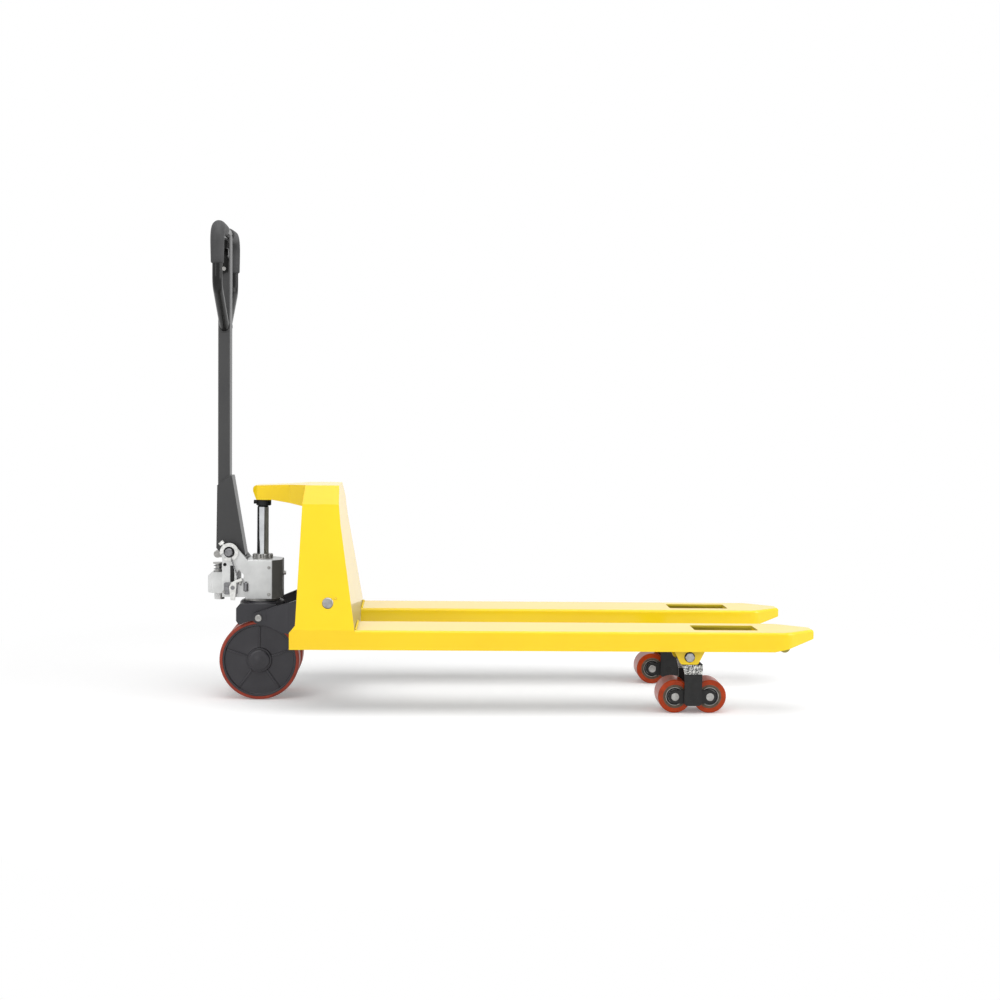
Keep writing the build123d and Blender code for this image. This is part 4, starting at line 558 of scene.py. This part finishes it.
# ---- weld beads ---------------------------------------------------------------------------
BACKREST_FOOT_X = 248.2
TUBE_FACE_Y = 25.8
loop_feet = []
bracket_tops = []
chassis_beads = []
for _, sign in SIDES:
    # the first runs along the backrest's foot
    chassis_beads += [
        bead([at(BACKREST_FOOT_X, sign * (FORK_Y + reach), 206.8) for reach in (-72, 70)], 2.4),
        bead([at(198, sign * 247.6, 279), at(201, sign * 247.2, 280)], 3.0),
        bead([at(113.5, sign * 33, 502), at(112.6, sign * 62, 503)], 2.0),
    ]
    ring = []
    for step in range(25):
        angle = math.radians(15 * step)
        ring.append(at(LOOP_X + 12.6 * math.cos(angle), sign * 25.6, 936.5 + 15.4 * math.sin(angle)))
    loop_feet.append(bead(ring, 1.9))
    slope = [at(x, sign * TUBE_FACE_Y, z) for x, z in ((-112.4, 533.5), (-104, 540.5), (-81.5, 560.5))]
    bracket_tops.append(bead(slope, 1.5))
swept("chassis_welds", chassis_beads, powder_coat_yellow, "chassis")
swept("handle_welds", loop_feet + bracket_tops, powder_coat_graphite, "handle")

# ---- release chain: links between two short rods, and the nut below the lever ---------------
CHAIN_Y = -58.3
SHAFT_X = -79.0
SHAFT_Z = 369.0
# lengths along the chain, in millimetres
FOOT_ROD = (-15.5, 11.0)
HEAD_ROD = (-15.5, -12.5)
FIRST_LINK = 12.6
LINK_PITCH = 5.0
LINK_STRAIGHT = 1.7
LINK_R = 1.5
LINK_WIRE = 0.75
LINK_STEPS = 16
NUT_PROFILE = [(1.5, -11.3), (3.9, -11.3), (4.5, -10.7), (4.5, -6.9), (3.9, -6.3), (1.5, -6.3)]
chain_foot = at(-54, CHAIN_Y, 300)
chain_head = at(SHAFT_X, CHAIN_Y, SHAFT_Z)
along_chain = (chain_head - chain_foot).normalized()
rods = [
    [(chain_foot + along_chain * reach * MM, 1.4) for reach in FOOT_ROD],
    [(chain_head + along_chain * reach * MM, 1.3) for reach in HEAD_ROD],
]
flat_way = OUTWARDS
tall_way = along_chain.cross(flat_way)
linked_length = (chain_head - chain_foot).length / MM - 12.5 - 13
links = []
for count in range(int(linked_length / LINK_PITCH)):
    middle = chain_foot + along_chain * (FIRST_LINK + LINK_PITCH * count) * MM
    way = flat_way if count % 2 else tall_way
    link = []
    for step in range(LINK_STEPS):
        angle = 2 * math.pi * step / LINK_STEPS
        straight = LINK_STRAIGHT if math.cos(angle) > 0 else -LINK_STRAIGHT
        lengthwise = along_chain * (straight + LINK_R * math.cos(angle)) * MM
        link.append((middle + lengthwise + way * LINK_R * math.sin(angle) * MM, LINK_WIRE))
    links.append(link)
swept("chain_links", rods, spring_wire, "release_chain", ("release_chain",), sides=3, loops=links)
nut = bmesh.new()
turn_into(nut, NUT_PROFILE, chain_foot, along_chain, 6)
from_bmesh("chain_nut", nut, zinc_plate, "release_chain")

# ---- pump dressing ------------------------------------------------------------------------------
# (radius, height along its own axis)
SHAFT_COLLAR = [(10.2, 50.1), (13.4, 50.1), (13.4, 51.2), (10.2, 51.2)]
BUTTON_HEAD = [(0, 4.6), (2.2, 4.6), (2.2, 3.4), (3.4, 3.4), (3.8, 3.0), (3.8, 0)]
SOCKET_SCREW = [(0, 2.6), (1.9, 2.6), (1.9, 1.4), (3.6, 1.4), (4.2, 0.8), (4.2, 0)]
SHAFT_GAP_SHADE = [(10.2, 0), (13.8, 0), (13.8, 1.0), (10.2, 1.0), (10.2, 0)]
PORT_HOLE_SHADE = [(0, 0), (4.3, 0), (4.3, 1.0), (0, 1.0)]
VALVE_BARREL = [
    (0, 0), (5.2, 0), (6.2, 1), (6.2, 20), (5.4, 21), (2.6, 21.2), (2.6, 23.4), (1.8, 24.2), (0, 24.4),
]
PUMP_SIDE_Y = -49.9
SLOT_SHADE_SIZE = (10.0, 0.6, 41.5)
screws = bmesh.new()
turn_into(screws, SHAFT_COLLAR, at(SHAFT_X, 0, SHAFT_Z), OUTWARDS)
for x, z in ((-85, 280), (-92, 268)):
    turn_into(screws, BUTTON_HEAD, at(x, PUMP_SIDE_Y, z), INWARDS, 24)
for z in (262, 330):
    turn_into(screws, SOCKET_SCREW, at(20, PUMP_SIDE_Y, z), INWARDS, 24)
from_bmesh("pump_screws", screws, zinc_plate, "steer_unit")
# Painted shade: a thin black strip in the slot, a black ring round the shaft and a black disc on the
# port hole stand in for the shade in these hollows and gaps.
pump_shade_pieces = bmesh.new()
block_into(pump_shade_pieces, SLOT_SHADE_SIZE, Matrix.Translation(at(-71.6, -50.1, 314)), 0.2)
turn_into(pump_shade_pieces, SHAFT_GAP_SHADE, at(SHAFT_X, -50, SHAFT_Z), INWARDS)
turn_into(pump_shade_pieces, PORT_HOLE_SHADE, at(-90, -42, 337), INWARDS, 32)
from_bmesh("painted_slot_shade", pump_shade_pieces, black_phosphate, "steer_unit")
barrel = bmesh.new()
turn_into(barrel, VALVE_BARREL, at(-37, -52, 270), UPWARDS, 32)
from_bmesh("valve_barrel", barrel, spring_wire, "steer_unit")

# ---- plunger spring: a coil from the housing up to the plunger --------------------------------
PLUNGER_X = -112.0
COIL_FOOT_Z = 299.4
COIL_HEIGHT = 33.7
COIL_R = 11.2
COIL_WIRE = 1.3
COILS = 4
COIL_STEPS = 24
coil = []
for step in range(COILS * COIL_STEPS + 1):
    angle = 2 * math.pi * step / COIL_STEPS
    z = COIL_FOOT_Z + COIL_HEIGHT * step / (COILS * COIL_STEPS)
    coil.append((at(PLUNGER_X + COIL_R * math.cos(angle), COIL_R * math.sin(angle), z), COIL_WIRE))
coil_foot = at(PLUNGER_X, 0, COIL_FOOT_Z)
coil_head = at(PLUNGER_X, 0, COIL_FOOT_Z + COIL_HEIGHT)
swept(
    "plunger_coils", [coil], spring_wire, ("steer_unit", "plunger", coil_foot, coil_head),
    ("plunger_spring",),
)


# ---- camera --------------------------------------------------------------------
def place_camera(spot, yaw, pitch, roll, focal_mm):
    """yaw turns the view towards +X from +Y, pitch tips it down and roll tilts it."""
    ahead = Vector((math.sin(yaw) * math.cos(pitch), math.cos(yaw) * math.cos(pitch), -math.sin(pitch)))
    right = Vector((math.cos(yaw), -math.sin(yaw), 0.0))
    up = right.cross(ahead)
    right_rolled = math.cos(roll) * right + math.sin(roll) * up
    up_rolled = -math.sin(roll) * right + math.cos(roll) * up
    data = bpy.data.cameras.new("camera")
    data.lens = focal_mm
    data.sensor_width = 36.0
    camera = bpy.data.objects.new("camera", data)
    bpy.context.scene.collection.objects.link(camera)
    turn = Matrix((right_rolled, up_rolled, -ahead)).transposed().to_4x4()
    camera.matrix_world = Matrix.Translation(spot) @ turn
    bpy.context.scene.camera = camera


place_camera(
    Vector((-0.211, -4.037, 0.782)),
    yaw=math.radians(2.80), pitch=math.radians(3.94), roll=math.radians(0.77), focal_mm=56.88,
)


# ---- light and floor -------------------------------------------------------------
def soft_light(name, spot, target, width, height, power):
    data = bpy.data.lights.new(name, "AREA")
    data.shape = "RECTANGLE"
    data.size = width
    data.size_y = height
    data.energy = power
    lamp = bpy.data.objects.new(name, data)
    bpy.context.scene.collection.objects.link(lamp)
    lamp.location = spot
    lamp.rotation_euler = (Vector(target) - Vector(spot)).to_track_quat("-Z", "Y").to_euler()


soft_light("overhead", (0.1, -0.8, 3.0), (0.0, 0.0, 0.2), width=3.4, height=2.4, power=52.0)
soft_light("front_left", (-2.6, -3.2, 2.2), (-0.1, 0.0, 0.4), width=2.0, height=2.0, power=32.0)
soft_light("right_side", (3.2, -1.0, 1.6), (-0.3, 0.0, 0.5), width=1.6, height=2.2, power=40.0)

# the world is white to the eye and in mirrors, and dimmer as a light
AMBIENT_LEVEL = 0.52
world = bpy.data.worlds.new("studio")
bpy.context.scene.world = world
world.use_nodes = True
world.node_tree.nodes.clear()
sky_rays = add_node(world, "ShaderNodeLightPath").outputs
sky_direct = add_node(
    world, "ShaderNodeMath",
    {0: sky_rays["Is Camera Ray"], 1: sky_rays["Is Glossy Ray"]}, {"operation": "MAXIMUM"},
)
sky_seen = add_node(
    world, "ShaderNodeMath",
    {0: sky_direct.outputs[0], 1: sky_rays["Is Transmission Ray"]}, {"operation": "MAXIMUM"},
)
sky_level = add_node(
    world, "ShaderNodeMapRange", {"Value": sky_seen.outputs[0]}, To_Min=AMBIENT_LEVEL, To_Max=1.0
)
sky = add_node(
    world, "ShaderNodeBackground", {"Strength": sky_level.outputs["Result"]}, Color=(1, 1, 1, 1)
)
add_node(world, "ShaderNodeOutputWorld", {"Surface": sky.outputs["Background"]})

# the paper takes the jack's shadow and a little light of its own
paper = new_material("white_paper")
paper_rays = add_node(paper, "ShaderNodeLightPath").outputs
paper_diffuse = add_node(paper, "ShaderNodeBsdfDiffuse", Color=(0.91, 0.91, 0.91, 1))
paper_glow = add_node(paper, "ShaderNodeEmission", Color=(1, 1, 1, 1), Strength=0.18)
paper_white = add_node(paper, "ShaderNodeEmission", Color=(1, 1, 1, 1), Strength=1.0)
paper_lit = add_node(
    paper, "ShaderNodeAddShader", {0: paper_diffuse.outputs[0], 1: paper_glow.outputs[0]}
)
# away from the jack the paper is plain white, as a studio sweep is
paper_place = add_node(paper, "ShaderNodeTexCoord").outputs["Object"]
paper_reach = add_node(paper, "ShaderNodeVectorMath", {0: paper_place}, {"operation": "LENGTH"})
paper_fade = add_node(
    paper, "ShaderNodeMapRange", {"Value": paper_reach.outputs["Value"]}, From_Min=1.0, From_Max=1.7
)
paper_seen = add_node(
    paper, "ShaderNodeMixShader",
    {0: paper_fade.outputs["Result"], 1: paper_lit.outputs[0], 2: paper_white.outputs[0]},
)
# bounced light finds plain diffuse paper
paper_mirrored = add_node(
    paper, "ShaderNodeMath",
    {0: paper_rays["Is Glossy Ray"], 1: paper_rays["Is Transmission Ray"]}, {"operation": "MAXIMUM"},
)
paper_watched = add_node(
    paper, "ShaderNodeMath",
    {0: paper_rays["Is Camera Ray"], 1: paper_mirrored.outputs[0]}, {"operation": "MAXIMUM"},
)
paper_mix = add_node(
    paper, "ShaderNodeMixShader",
    {0: paper_watched.outputs[0], 1: paper_diffuse.outputs[0], 2: paper_seen.outputs[0]},
)
add_node(paper, "ShaderNodeOutputMaterial", {"Surface": paper_mix.outputs[0]})

floor_form = bmesh.new()
bmesh.ops.create_grid(floor_form, x_segments=1, y_segments=1, size=30.0)
floor_mesh = bpy.data.meshes.new("floor")
floor_form.to_mesh(floor_mesh)
floor_form.free()
floor = bpy.data.objects.new("floor", floor_mesh)
bpy.context.scene.collection.objects.link(floor)
floor.location = (0, 0, -0.0005)
wear(floor, paper)

bpy.context.scene.view_settings.view_transform = "Standard"
